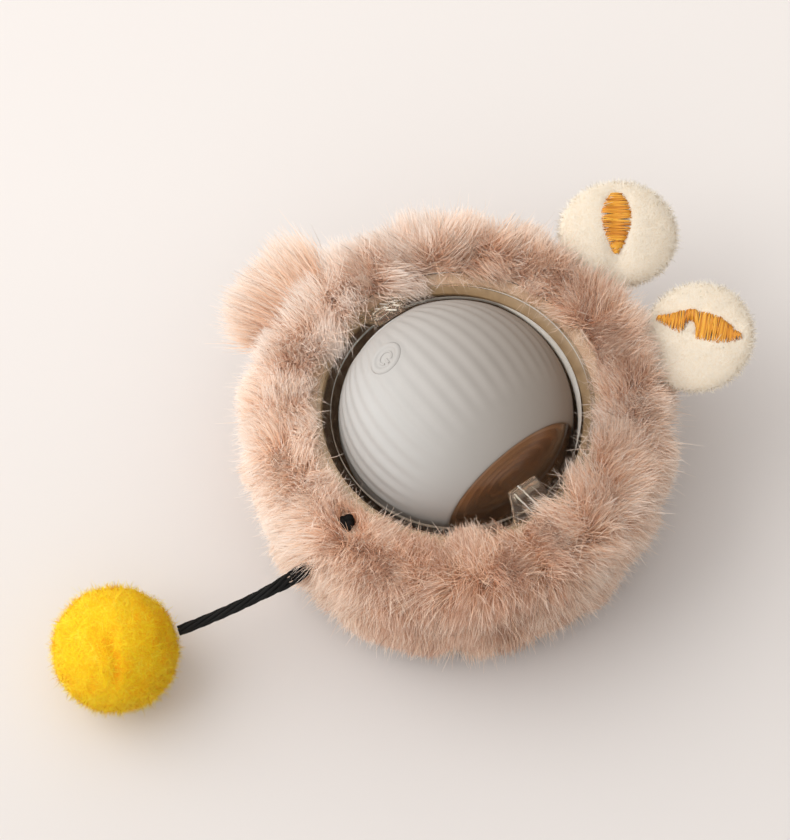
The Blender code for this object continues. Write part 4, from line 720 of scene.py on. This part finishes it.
# The dark roots partly stand for painted shade deep in the pile.
strand_finish("fur", ((0.0, (0.56, 0.28, 0.15)), (0.3, (0.88, 0.52, 0.32)),
                      (0.7, (0.97, 0.67, 0.47)), (1.0, (1.0, 0.82, 0.68))),
              (0.58, 0.36, 0.26), (1.0, 0.92, 0.86), 0.6, 0.2, 0.26)
strand_finish("ear_pile", ((0.0, (0.95, 0.83, 0.66)), (0.5, (0.96, 0.88, 0.75)), (1.0, (0.97, 0.905, 0.80))),
              (0.96, 0.90, 0.80), (1.0, 0.97, 0.90), 0.8, 0.2, 0.12, 0.3)
strand_finish("felt_fuzz", ((0.0, (0.98, 0.54, 0.003)), (0.5, (1.0, 0.72, 0.006)), (1.0, (1.0, 0.85, 0.02))),
              (0.98, 0.56, 0.22), (1.0, 0.94, 0.12), 0.8, 0.0, 0.12, 0.25)


def lint_finish(slot, low, high, height, fibre_scale=2600.0, patch_scale=260.0, roughness=0.9, **settings):
    """Felt, cloth or yarn as a surface."""
    finish(slot, low, high, roughness, lint_tree, "Patch", (height, 0.8),
           scales={"Fibre_Scale": fibre_scale, "Patch_Scale": patch_scale}, **settings)


lint_finish("ear_plush", (0.95, 0.83, 0.66), (0.98, 0.89, 0.75), 0.0002, Sheen_Weight=0.3)
lint_finish("yellow_felt", (0.98, 0.56, 0.006), (1.0, 0.76, 0.02), 0.0003)
lint_finish("fur_cloth", (0.86, 0.63, 0.46), (0.92, 0.71, 0.54), 0.0002, 5200.0, shade=0.45)
lint_finish("lining_cloth", (0.80, 0.52, 0.35), (0.92, 0.68, 0.50), 0.0003, 5200.0, 900.0, shade=0.6)
lint_finish("black_yarn", (0.004, 0.0039, 0.0038), (0.011, 0.0105, 0.010), 0.00012, 7000.0, roughness=0.75,
            Specular_IOR_Level=0.2)
print("fibre finishes made")

# %% [markdown]
# ## Strands
# Blender has hair curves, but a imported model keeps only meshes, so a strand here is a narrow
# ribbon of three quads. One grid gives thousands of them: every second column of its faces is
# deleted, and the corners that are left are moved to where the strands grow.

# %% Strand meshes
SPAN = np.array([0.0, 0.34, 0.68, 1.0])
WIDTHS = np.array([1.0, 0.95, 0.72, 0.25])


def strand_sheet(count):
    """A mesh of count loose ribbons, and for each of its points the strand, the side and the row."""
    columns = 2 * count - 1
    bm = bmesh.new()
    bmesh.ops.create_grid(bm, x_segments=columns, y_segments=3, size=0.5)
    gaps = [f for f in bm.faces if int((f.calc_center_median().x + 0.5) * columns) % 2]
    bmesh.ops.delete(bm, geom=gaps, context="FACES")
    flat = points_of(bm)
    mesh = as_mesh("strands", bm)
    column = np.rint((flat[:, 0] + 0.5) * columns).astype(int)
    return mesh, column // 2, column % 2, np.rint((flat[:, 1] + 0.5) * 3).astype(int)


def grow(name, curves, width, tones, finish, slot, body, rng, face, sheet=None, felted=False):
    """Ribbons along curves (strand, row, xyz) that turn their flat side towards face, more or less.
    Each is lit as the rounded hair it stands for: its normal leans towards its tip."""
    count = len(curves)
    mesh, strand, side, row = sheet or strand_sheet(count)
    mesh = mesh.copy()
    along = curves[:, 3] - curves[:, 0]
    along /= lengths(along)
    flat_way = np.cross(along, np.broadcast_to(face, (count, 3)) + rng.normal(0, 0.05, (count, 3)))
    flat_way /= lengths(flat_way)
    roll = rng.normal(0, 0.2 if felted else 0.55, count)[:, None]
    across = flat_way * np.cos(roll) + np.cross(along, flat_way) * np.sin(roll)
    if felted:
        lit = face + rng.normal(0, 0.12, (count, 3))
    else:
        lit = np.cross(flat_way, along) + 0.55 * along + rng.normal(0, 0.32, (count, 3))
    lit /= lengths(lit)
    turned_away = (lit * np.cross(across, along)).sum(1) < 0
    across[turned_away] *= -1
    size = np.broadcast_to(width, (count,)) * rng.uniform(0.8, 1.2, count)
    places = curves[strand, row] + across[strand] * ((side - 0.5) * size[strand] * WIDTHS[row])[:, None]
    mesh.vertices.foreach_set("co", places.astype(np.float32).ravel())
    for title, values in (("along", SPAN[row]), ("tone", tones[strand])):
        mesh.attributes.new(title, "FLOAT", "POINT").data.foreach_set("value", values.astype(np.float32))
    corner = np.zeros(len(mesh.loops), int)
    mesh.loops.foreach_get("vertex_index", corner)
    cells = math.ceil(math.sqrt(count))
    u = (strand % cells + 0.12 + 0.76 * side) / cells
    v = (strand // cells + 0.08 + 0.84 * SPAN[row]) / cells
    mesh.uv_layers.new(name="OFBake").data.foreach_set(
        "uv", np.stack([u, v], 1)[corner].astype(np.float32).ravel())
    mesh.update()
    mesh.shade_smooth()
    mesh.normals_split_custom_set_from_vertices(lit[strand].tolist())
    obj = bpy.data.objects.new(name, mesh)
    scene.collection.objects.link(obj)
    print(name, count, "strands")
    return worn(obj, slot, body, finish)


# %% [markdown]
# ## Fur cover
# The cover is a band of long-pile cloth that grips the flange and is gathered under the bowl. Its
# backing is spun and thickened. The pile is what shows: locks of hair lean inwards over the ring,
# stand up on the shoulder, flow outwards at the side and spread on the floor. Hair grows in locks,
# so guide hairs are set first, and every strand is pulled towards the guide it belongs to.

# %% Backing cloth
CLOTH_LINE = np.array([(28.4, 32.6), (30.0, 33.0), (31.6, 32.9), (33.0, 32.2), (33.9, 30.6), (34.2, 28.6),
                       (34.2, 25.0), (34.3, 19.0), (34.0, 12.0), (33.0, 6.6), (30.8, 2.8), (27.6, 1.2),
                       (12.0, 0.7), (0.0, 0.7)]) / 1000


def thickened(bm, thickness, centre):
    """A sheet made thick; its faces are first turned away from a centre on the axis."""
    for face in bm.faces:
        if face.normal.dot(face.calc_center_median() - Vector((0, 0, centre))) < 0:
            face.normal_flip()
    bmesh.ops.solidify(bm, geom=bm.faces[:], thickness=thickness)
    return facing_out(bm)


cloth = thickened(spun(CLOTH_LINE, 96, close=False), 0.0008, 0.02)
backing = dress("fur_backing", cloth, "fur", "holder", "fur_cover", finish="fur_cloth")
# A lining of the same cloth lies under the flange and round the bowl, and shows through both. The
# cover's edge is rolled against the ring's flange, and its raw edge lies beneath.
lining = [(0.0328, 0.0292), (0.0278, 0.0292)]
lining += [(r, z + BOWL_Z) for r, z in arc(BOWL_OUT + 0.0004, under_angle + 0.03, math.radians(168), 30)]
lining = thickened(spun(lining, 96, close=False), -0.0004, BOWL_Z)
hem_roll = swept(circle(0.0280, np.linspace(0, math.tau, 129), 0.0323), 0.00048, 10)
hem_edge = spun([(0.02547, 0.03146), (0.02547, 0.03164), (0.0280, 0.03166), (0.0280, 0.03146)], 96)
lining = dress("cover_lining", gathered([lining, hem_roll, hem_edge]), "fur", "holder", finish="lining_cloth")

# %% Guide hairs
rng = np.random.default_rng(11)
LINE_S = trodden(CLOTH_LINE)
# Distance down the cloth from the hem in mm: angle of the hair above outwards, and its length in mm
GROWTH = np.array([(0, 118, 6.2), (1, 112, 6.2), (2, 104, 6.2), (3.6, 86, 6.2), (5.2, 62, 6.8), (7, 44, 7.4),
                   (10, 28, 7.0), (14, 12, 6.2), (20, 0, 5.8), (27, -8, 5.8), (33, -10, 5.2), (36, -6, 3.8),
                   (40, 0, 2.5), (70, 0, 1.5)])
DENSITY = np.array([(0, 1.4), (6, 1.3), (14, 1.15), (30, 1.1), (36, 0.7), (40, 0.15), (70, 0.05)])
# How far the hair at the hem leans over the ring, in mm by azimuth in degrees
LEAN = np.array([(0, 5.6), (14, 4.2), (28, 2.8), (52, 2.4), (72, 3.0), (92, 4.8), (108, 7.6), (125, 8.8),
                 (150, 8.2), (168, 5.4), (185, 3.5), (225, 3.0), (245, 3.1), (292, 4.2), (318, 7.6),
                 (340, 7.2), (360, 5.6)])
# How much paler the fur is painted, by azimuth in degrees: painted light on the back left, towards the lamp, and
# painted shade at the front
FUR_PAINTED_LIGHT = np.array([(0, 0.16), (30, -0.08), (60, -0.10), (90, 0.10), (112, 0.58), (148, 0.58), (180, 0.14),
                (225, -0.04), (252, -0.48), (288, -0.48), (315, -0.02), (360, 0.16)])


def hair(azimuth, down, lean, sway, scale, droop=0.14):
    """Curves of four points for hairs rooted at an azimuth and a distance down the cloth."""
    radius, height = np.interp(down, LINE_S, CLOTH_LINE[:, 0]), np.interp(down, LINE_S, CLOTH_LINE[:, 1])
    over = np.interp(np.degrees(azimuth) % 360, LEAN[:, 0], LEAN[:, 1])
    near_hem = np.exp(-down / 0.0032)
    tip = np.degrees(np.arcsin(over / (4.4 + 0.6 * over))) - 28
    angle = np.radians(np.interp(down * 1000, GROWTH[:, 0], GROWTH[:, 1]) + tip * near_hem + lean)
    length = np.interp(down * 1000, GROWTH[:, 0], GROWTH[:, 2]) / 1000 * scale
    length *= 1 + (over - 3) * 0.097 * near_hem
    length *= 0.91 + 0.09 * np.cos(azimuth)
    # Opposite the tongue that shows, the hair stands over the other tongue.
    over_tongue = np.exp(-(((np.degrees(azimuth) + 180) % 360 - 180 - 122) / 17) ** 2) * near_hem
    angle -= np.radians(20) * over_tongue
    length *= 1 + 0.38 * over_tongue
    out, up = circle(1.0, azimuth, 0.0), np.array([[0, 0, 1.0]])
    around = np.cross(up, out)
    way = out * np.cos(angle)[:, None] + up * np.sin(angle)[:, None] + around * sway[:, None]
    way /= lengths(way)
    root = circle(radius, azimuth, height)
    reach = length[:, None, None] * SPAN[None, :, None]
    return (root[:, None] + way[:, None] * reach
            + (0.5 * out - up)[:, None] * reach * SPAN[None, :, None] * droop)


def sown(count):
    """Azimuths and distances down the cloth, spread by its area and the density of its pile."""
    down = np.linspace(0, LINE_S[-1], 2000)
    weight = np.interp(down, LINE_S, CLOTH_LINE[:, 0]) * np.interp(down * 1000, DENSITY[:, 0], DENSITY[:, 1])
    total = np.cumsum(weight)
    return rng.uniform(0, math.tau, count), np.interp(rng.uniform(0, total[-1], count), total, down)


def drawn_together(own, guide, pull, power=1.2):
    share = pull[:, None, None] * (SPAN ** power)[None, :, None]
    return own * (1 - share) + guide * share


LOCKS, GUIDES, PER_GUIDE = 300, 4400, 46
lock_azimuth, lock_down = sown(LOCKS)
lock_sway, lock_lean = rng.normal(0, 0.42, LOCKS), rng.normal(0, 17, LOCKS)
lock_scale, lock_tone = rng.uniform(0.85, 1.2, LOCKS), rng.uniform(0, 1, LOCKS)
locks = hair(lock_azimuth, lock_down, lock_lean, lock_sway, lock_scale)
azimuth, down = sown(GUIDES)
plain = hair(azimuth, down, 0 * down, 0 * down, 1 + 0 * down)
nearest = np.array([np.argmin(((locks[:, 0] - point) ** 2).sum(1)) for point in plain[:, 0]])
guides = hair(azimuth, down, lock_lean[nearest] + rng.normal(0, 13, GUIDES),
              lock_sway[nearest] + rng.normal(0, 0.22, GUIDES), lock_scale[nearest] * rng.uniform(0.9, 1.12, GUIDES))
guides = drawn_together(guides, locks[nearest], rng.uniform(0.25, 0.6, GUIDES))
guide_tone = 0.55 * lock_tone[nearest] + 0.45 * rng.uniform(0, 1, GUIDES)
print("guides reach", round(float(lengths(guides[:, 3, :2]).max()) * 1000, 1), "mm from the axis")

# %% Pile
owner = np.repeat(np.arange(GUIDES), PER_GUIDE)
owner = owner[np.argsort(np.repeat(azimuth, PER_GUIDE), kind="stable")]
count = len(owner)
loose = rng.uniform(0, 1, count) < 0.22
strand_azimuth = azimuth[owner] + rng.normal(0, 0.00105, count) / 0.033
strand_down = np.clip(down[owner] + rng.normal(0, 0.00105, count), 0, LINE_S[-1])
wild = np.where(loose, 2.6, 1.0)
own = hair(strand_azimuth, strand_down, lock_lean[nearest[owner]] + rng.normal(0, 14, count) * wild,
           lock_sway[nearest[owner]] + rng.normal(0, 0.28, count) * wild,
           lock_scale[nearest[owner]] * rng.uniform(0.70, 1.04, count) * np.where(loose, 1.16, 1.0))
spread = own[:, :1] - guides[owner][:, :1]
pull = rng.uniform(0.25, 0.75, GUIDES)[owner] * np.where(loose, 0.2, 1.0)
curves = drawn_together(own, guides[owner] + spread * 0.35, pull)
curves[:, 1:] += (rng.normal(0, 1, (count, 1, 3)) * np.where(loose, 0.0009, 0.0003)[:, None, None]
                  * np.array([0.3, 0.75, 1.0])[None, :, None])
curves[:, 1:3] += rng.normal(0, 0.00012, (count, 2, 3))
curves[:, :, 2] = np.maximum(curves[:, :, 2], FLOOR_Z)
# Hair that reaches the ball lies on it.
from_ball = curves - np.array(BALL_CENTRE)
curves = np.array(BALL_CENTRE) + from_ball * np.maximum(1, (BALL_RADIUS + 0.0005) / lengths(from_ball))
# Painted light and shade by azimuth lighten or darken the tone of each strand.
painted_light = np.interp(np.degrees(strand_azimuth) % 360, FUR_PAINTED_LIGHT[:, 0], FUR_PAINTED_LIGHT[:, 1])
tones = np.clip(0.16 + 0.75 * guide_tone[owner] + painted_light + rng.normal(0, 0.20, count), 0, 0.95)
tones = np.where(loose, np.clip(rng.uniform(0.70, 1.0, count) + painted_light * 0.5, 0, 1), tones)
width = np.where(loose, 0.00010, 0.00013)
facing = circle(0.55, strand_azimuth, 0.9)
# No hair crosses the knot.
off = lengths(curves[:, :, :2] - (np.array(KNOT)[:2] + (0.0002, -0.0002)))[:, :, 0]
crossing = ((curves[:, :, 2] > 0.0318) & (off < rng.uniform(0.0012, 0.0025, (count, 1)))).any(axis=1)
curves, tones, width, facing = curves[~crossing], tones[~crossing], width[~crossing], facing[~crossing]
SECTORS = 8
chunk = len(curves) // SECTORS
sheet = strand_sheet(chunk)
for sector in range(SECTORS):
    own = slice(sector * chunk, (sector + 1) * chunk)
    grow(f"fur_pile_{sector + 1}", curves[own], width[own], tones[own], "fur", "fur", "holder", rng,
                     facing[own], sheet)

# %% Tuft
TUFT = 12000
heading = np.radians(142.0)
tuft_out = np.array([math.cos(heading), math.sin(heading), 0])
tuft_side, tuft_up = np.array([-tuft_out[1], tuft_out[0], 0]), np.array([0, 0, 1.0])
BUNCHES = 34
bunch = rng.integers(0, BUNCHES, TUFT)
bunch_way = rng.uniform(-1, 1, (BUNCHES, 2)) * (0.50, 0.40)
bunch_reach = rng.uniform(0.0108, 0.0142, BUNCHES)


def tuft_hairs(spread, reach):
    """Hairs of the tuft by how far sideways and upwards they spread, in one plume from its root."""
    root = (tuft_out * 0.0345 + np.array([0, 0, 0.0262]) + tuft_side * spread[:, :1] * 0.009
            + tuft_up * spread[:, 1:] * 0.010)
    way = tuft_out + tuft_side * (spread[:, :1] * 0.9 + 0.05) + tuft_up * (spread[:, 1:] + 0.04)
    way /= lengths(way)
    return root[:, None] + way[:, None] * reach[:, None, None] * SPAN[None, :, None]


own = tuft_hairs(bunch_way[bunch] + np.clip(rng.normal(0, 0.22, (TUFT, 2)), -0.36, 0.36),
                 bunch_reach[bunch] * rng.uniform(0.72, 1.0, TUFT))
plume = tuft_hairs(bunch_way[bunch], bunch_reach[bunch] * 1.02)
tuft_curves = drawn_together(own, plume, rng.uniform(0.1, 0.8, TUFT))
tuft_curves[:, 1:] += rng.normal(0, 0.0009, (TUFT, 1, 3)) * np.array([0.2, 0.6, 1.0])[None, :, None]
tuft_curves[:, 1:3] += rng.normal(0, 0.00022, (TUFT, 2, 3))
tuft_tones = np.clip(0.68 + rng.normal(0, 0.1, BUNCHES)[bunch] + rng.normal(0, 0.2, TUFT), 0, 1)
grow("fur_tuft", tuft_curves, 0.00012, tuft_tones, "fur", "fur", "holder", rng,
                 tuft_out * 0.4 + tuft_up)

# %% [markdown]
# ## Ears
# Each ear is a small stuffed pad of fleece, drawn in by its embroidery. A thin pad is blown up by
# a cloth simulation while the points under the embroidery are held, as the stitches hold them.
# The fleece is a short pile of curled strands, and every satin stitch is a thread of its own.

# %% Stuffed ears
# Azimuth on the cover, way the ear points, the embroidery's length, centre and slant, and the
# shares of its width from the outer end to the body
EARS = {"left_ear": (50.1, 88.0, 0.0120, (0.0016, 0.0004), 0.03, (0.30, 0.78, 0.97, 1.00, 0.92, 0.72, 0.44, 0.08)),
        "right_ear": (18.9, -10.0, 0.0160, (0.0001, 0.0014), -0.13,
                      (0.10, 0.66, 0.97, 1.05, 1.00, 0.84, 0.50, 0.16))}
EAR_SIZE = (0.0212, 0.0228, 0.0086)


def ear_place(name):
    azimuth, pointing = (math.radians(value) for value in EARS[name][:2])
    return (Matrix.Translation((0.0470 * math.cos(azimuth), 0.0470 * math.sin(azimuth), 0.0306))
            @ Matrix.Rotation(pointing, 4, "Z") @ Matrix.Rotation(math.radians(-8), 4, "Y"))


def seam(name, x):
    """Where the embroidery's middle line lies at a place along the ear."""
    shift, slant = EARS[name][3:5]
    return shift[1] + slant * (x - shift[0])


def stitched(name, x):
    """The lower and the upper end of the stitches at places along the ear; none where both meet."""
    length, shift, _, almond = EARS[name][2:]
    t = (np.asarray(x) - shift[0]) / length + 0.5
    half = np.where((t > 0) & (t < 1), 0.0030 * np.interp(1 - t, np.linspace(0, 1, 8), almond), 0)
    bare = 0.0
    # A notch in the lower half of the right ear's embroidery stays bare.
    if name == "right_ear":
        bare = np.sqrt(np.clip(1 - ((x - shift[0] + 0.0016) / 0.0013) ** 2, 0, 1)) * 1.25
    return seam(name, x) - half + half * bare, seam(name, x) + half


def stuffed(name):
    bm = bmesh.new()
    bmesh.ops.create_uvsphere(bm, u_segments=44, v_segments=26, radius=0.5)
    size = np.array(EAR_SIZE) * (0.93, 0.93, 0.62)
    places = points_of(bm) * size
    length, shift = EARS[name][2:4]
    beyond = np.maximum(np.abs(places[:, 0] - shift[0]) - length * 0.36, 0)
    # On the left ear the seam runs on towards the body as a crease.
    if name == "left_ear":
        beyond *= np.where(places[:, 0] < shift[0], 0.25, 1.0)
    away = np.hypot(beyond, places[:, 1] - seam(name, places[:, 0]))
    held = (away < 0.0016) & (places[:, 2] > 0)
    places[:, 2] -= np.where(places[:, 2] > 0, 0.0011 * np.exp(-(away / 0.0022) ** 2), 0)
    move_points(bm, places)
    obj = as_object(name + "_pad", bm, 180)
    pins = obj.vertex_groups.new(name="held")
    pins.add([int(i) for i in np.nonzero(held)[0]], 1.0, "REPLACE")
    cloth = obj.modifiers.new("stuffing", "CLOTH")
    cloth.settings.quality = 6
    cloth.settings.mass = 0.02
    cloth.settings.use_pressure = True
    cloth.settings.uniform_pressure_force = 2.2
    cloth.settings.tension_stiffness = cloth.settings.compression_stiffness = 12
    cloth.settings.vertex_group_mass = "held"
    cloth.settings.effector_weights.gravity = 0
    cloth.collision_settings.use_self_collision = False
    for step in range(1, 17):
        scene.frame_set(step)
    dg = bpy.context.evaluated_depsgraph_get()
    swollen = bmesh.new()
    swollen.from_object(obj, dg)
    after = points_of(swollen)
    swollen.free()
    obj.modifiers.clear()
    scene.frame_set(1)
    change = after - places
    far = lengths(change)
    after = places + change * np.minimum(1, 0.0016 / np.maximum(far, 1e-9))
    obj.data.vertices.foreach_set("co", after.astype(np.float32).ravel())
    print(name, "swelled by up to", round(float(far.max()) * 1000, 2), "mm")
    bm = bmesh.new()
    bm.from_mesh(obj.data)
    bpy.data.objects.remove(obj)
    bmesh.ops.subdivide_edges(bm, edges=bm.edges[:], cuts=1, use_grid_fill=True, smooth=1.0)
    pad = dress(name + "_pad", bm, "ear_plush", "holder", name, place=ear_place(name), smooth=180)
    return pad


pads = {name: stuffed(name) for name in EARS}

# %% Fleece
def surface_sample(obj, count, rng):
    """Even random points on a mesh, with the surface's normal at each."""
    mesh = obj.data
    mesh.calc_loop_triangles()
    corners = np.zeros(len(mesh.loop_triangles) * 3, int)
    mesh.loop_triangles.foreach_get("vertices", corners)
    corners = corners.reshape(-1, 3)
    co, no = np.zeros(len(mesh.vertices) * 3), np.zeros(len(mesh.vertices) * 3)
    mesh.vertices.foreach_get("co", co)
    mesh.vertex_normals.foreach_get("vector", no)
    co, no = co.reshape(-1, 3)[corners], no.reshape(-1, 3)[corners]
    area = lengths(np.cross(co[:, 1] - co[:, 0], co[:, 2] - co[:, 0]))[:, 0]
    pick = rng.choice(len(area), count, p=area / area.sum())
    a = rng.dirichlet((1, 1, 1), count)[:, :, None]
    return (co[pick] * a).sum(1), (no[pick] * a).sum(1)


def fleece(name, roots, normals, rng, low, high, stand, curl, width, finish, slot, body, tones):
    """Short fibres that lie every way on a surface and stand up from it by stand to one."""
    count = len(roots)
    way = np.cross(normals, rng.normal(0, 1, (count, 3)))
    way = way / lengths(way) + normals * stand * rng.uniform(0.5, 1.5, (count, 1))
    way /= lengths(way)
    reach = rng.uniform(low, high, count)[:, None, None] * SPAN[None, :, None]
    curves = roots[:, None] + way[:, None] * reach
    bend = rng.normal(0, 1, (count, 3))
    curves += bend[:, None] * (reach * SPAN[None, :, None]) * curl
    curves[:, :, 2] = np.maximum(curves[:, :, 2], FLOOR_Z)
    return grow(name, curves, width, tones, finish, slot, body, rng, normals, felted=True)


def ear_sample(name, pad, count, rng):
    """Even random points of a smooth pad in its own frame, dropped on to the stuffed one."""
    half = np.array(EAR_SIZE) * (0.93, 0.93, 0.62) / 2
    ways = rng.normal(0, 1, (count * 4, 3))
    ways /= lengths(ways)
    ways = ways[rng.uniform(0, 1, count * 4) < lengths(ways / half)[:, 0] * half[2]][:count]
    local, level = ways * half, ways / half
    place = ear_place(name)
    spin = np.array(place.to_3x3())
    roots, normals = local @ spin.T + np.array(place.translation), (level / lengths(level)) @ spin.T
    for index, (x, y, z) in enumerate(local):
        side = math.copysign(1.0, z)
        found, spot, normal, _ = pad.ray_cast(place @ Vector((x, y, 0.02 * side)),
                                              place.to_3x3() @ Vector((0, 0, -side)))
        if found:
            roots[index], normals[index] = spot, normal
    return local, roots, normals


bpy.context.view_layer.update()
for name, pad in pads.items():
    local, roots, normals = ear_sample(name, pad, 22000, rng)
    low, high = stitched(name, local[:, 0])
    covered = (local[:, 1] > low - 0.0001) & (local[:, 1] < high + 0.0001) & (low < high) & (local[:, 2] > 0)
    roots, normals = roots[~covered], normals[~covered]
    fleece(name + "_pile", roots, normals, rng, 0.0008, 0.0014, 0.50, 0.25, 0.00009, "ear_pile",
           "ear_plush", "holder", np.clip(rng.normal(0.6, 0.08, len(roots)), 0, 1))

# %% Embroidery
thread, tree, shader, where = material("embroidery", (0.87, 0.38, 0.03), 0.36)
shade = linked(tree, "ShaderNodeAttribute", {"attribute_name": "tone"}).outputs["Fac"]
fed(tree, shader, Base_Color=ramp(tree, shade, ((0.0, (0.50, 0.155, 0.006)), (0.5, (0.76, 0.31, 0.018)),
                                                (1.0, (0.93, 0.52, 0.06)))))
effect = placed(tree, lint_tree, where, Fibre_Scale=9000.0)
bumped(tree, shader, effect["Height"], 0.00003, 0.6)
FINISHES["embroidery"] = thread

for name, pad in pads.items():
    length, shift = EARS[name][2:4]
    place, back = ear_place(name), ear_place(name).inverted()
    stitches = []
    for x in np.arange(shift[0] - length / 2 + 0.0002, shift[0] + length / 2 - 0.0001, 0.00017):
        low, high = stitched(name, x)
        if high - low < 0.0005:
            continue
        path = []
        slant = rng.normal(0, 0.00016)
        low, high = low - rng.uniform(0, 0.00014), high + rng.uniform(0, 0.00014)
        for t in np.linspace(0, 1, 9):
            y = low + (high - low) * t
            start = place @ Vector((x, y, 0.02))
            found, spot, normal, _ = pad.ray_cast(start, (place.to_3x3() @ Vector((0, 0, -1))))
            height = (back @ spot).z if found else 0.0
            arch = math.sqrt(max(0.0, 1 - (2 * t - 1) ** 2))
            path.append((x + slant * (2 * t - 1), y, height - 0.0004 + 0.0013 * arch))
        stitches.append(swept(path, rng.uniform(0.00010, 0.00013), 6))
    tones = np.repeat(rng.uniform(0.1, 0.9, len(stitches)), [len(part.verts) for part in stitches])
    piece = dress(name + "_stitches", gathered(stitches), "embroidery", "holder", name + "_embroidery",
                  place=place, smooth=180)
    piece.data.attributes.new("tone", "FLOAT", "POINT").data.foreach_set("value", tones.astype(np.float32))

# %% [markdown]
# ## Tail
# The tail is a black twisted cord. It is knotted above the flange, passes through it and out of
# the fur, and ends in the pompom. Six plies wind about a core. The knot is a closed curve that
# crosses itself three times, as an overhand knot does when it is pulled tight.

# %% Cord
CORD_POINTS = [KNOT + Vector((x, y, RIM_Z * up)) for x, y, up in (
    (0, 0, 0.9904), (-0.0001, -0.0001, 0.9172), (-0.0012, -0.0007, 0.8280), (-0.0044, -0.0025, 0.7293),
    (-0.0104, -0.0057, 0.6274), (-0.0176, -0.0087, 0.5414), (-0.0246, -0.0112, 0.4682),
    (-0.0308, -0.0132, 0.4140))]


def smooth_route(points, steps):
    route = []
    for index in range(len(points) - 1):
        before, start = points[max(index - 1, 0)], points[index]
        end, after = points[index + 1], points[min(index + 2, len(points) - 1)]
        leave, arrive = (end - before) / 2, (after - start) / 2
        for step in range(steps):
            t = step / steps
            route.append((2 * t ** 3 - 3 * t ** 2 + 1) * start + (t ** 3 - 2 * t ** 2 + t) * leave
                         + (3 * t ** 2 - 2 * t ** 3) * end + (t ** 3 - t ** 2) * arrive)
    return route + [points[-1]]


fine = np.array(smooth_route(CORD_POINTS, 16))
travelled = trodden(fine)
tangent = np.gradient(fine, axis=0)
tangent /= lengths(tangent)
level = np.cross(tangent, (0.0, 0.0, 1.0))
level[lengths(level)[:, 0] < 0.2] = (-0.35, 0.94, 0)
level /= lengths(level)
upward = np.cross(level, tangent)
plies = []
for ply in range(6):
    twist = travelled / 0.0190 * math.tau + ply * math.tau / 6
    fan = (1 + 0.55 * np.exp(-((travelled - 0.0165) / 0.0045) ** 2))[:, None]
    offset = (level * np.cos(twist)[:, None] * 0.00072 * fan + upward * np.sin(twist)[:, None] * 0.00034)
    plies.append(swept(fine + offset, 0.00034 + 0.00002 * np.sin(travelled * 5200 + ply), 10))
plies.append(swept(fine, 0.00042, 10))
cord = dress("tail_cord_plies", gathered(plies), "black_yarn", "tail", "tail_cord", smooth=180)
print("cord", round(travelled[-1] * 1000, 1), "mm long")

# %% Knot
turns = np.linspace(0, math.tau, 97)
trefoil = np.stack([np.sin(turns) + 2 * np.sin(2 * turns), np.cos(turns) - 2 * np.cos(2 * turns),
                    -np.sin(3 * turns)], 1)
knot_path = trefoil * (0.00033, 0.00033, 0.00055) + np.array(KNOT) + (0, 0, RIM_Z + 0.0003 + 0.00135)
knot = dress("knot", swept(knot_path, 0.00080, 12), "black_yarn", "tail", "cord_knot", smooth=180)

# %% [markdown]
# ## Pompom
# The pompom is a ball of yellow felt, matted and a little lumpy, with a cleft where the cord is
# drawn in; the fibres in the cleft are painted darker and more orange, as painted shade. An
# icosphere is dented by noise, the cleft is pressed in by moving points, and short matted fibres
# grow from it.

# %% Pompom
POM_CENTRE, POM_RADIUS = KNOT + Vector((-0.0424, -0.0164, 0.01175)), 0.0117
bm = bmesh.new()
bmesh.ops.create_icosphere(bm, subdivisions=5, radius=1.0)


def cleft(directions):
    """How deep in the cleft a direction from the pompom's centre lies, from 0 to 1."""
    directions = np.asarray(directions)
    image_up = np.array([0, 0.9205, 0.3907])
    facing = np.array([0, -0.3907, 0.9205])
    across = directions[:, 0] - 0.02 + 0.05 * np.sin(directions @ image_up * 6)
    lengthwise = directions @ image_up
    window = np.clip((lengthwise + 0.62) / 0.12, 0, 1) * np.clip((0.42 - lengthwise) / 0.2, 0, 1)
    return np.exp(-(across / 0.055) ** 2) * window * (directions @ facing > 0)


ways = points_of(bm)
lumps = np.array([noise.fractal(Vector(way) * 3.1, 0.8, 2.1, 3) for way in ways])
radii = POM_RADIUS * (0.958 + 0.030 * lumps - 0.060 * cleft(ways))
move_points(bm, ways * radii[:, None] + np.array(POM_CENTRE))
pompom = dress("pompom_core", bm, "yellow_felt", "tail", "pompom", smooth=180)
roots, normals = surface_sample(pompom, 24000, rng)
ways = roots - np.array(POM_CENTRE)
ways /= lengths(ways)
lumps = np.array([noise.fractal(Vector(way) * 5.0, 0.7, 2.2, 3) for way in ways])
# Painted shade: fibres in the cleft get a lower tone, darker and more orange.
tones = np.clip(0.5 + 0.5 * lumps + rng.normal(0, 0.16, len(roots)) - 0.8 * cleft(ways), 0, 1)
fuzz = fleece("pompom_fuzz", roots, normals, rng, 0.0010, 0.0020, 0.24, 0.32, 0.00008, "felt_fuzz",
              "yellow_felt", "tail", tones)

# %% Other solids keep their shape
shown_slots = {row["node"]: row["material_slot"] for row in frame["record"]["subparts"]}
for name, obj in nodes.items():
    if not obj.hide_render and shown_slots[name] in FINISHES:
        obj.data.materials.clear()
        obj.data.materials.append(FINISHES[shown_slots[name]])
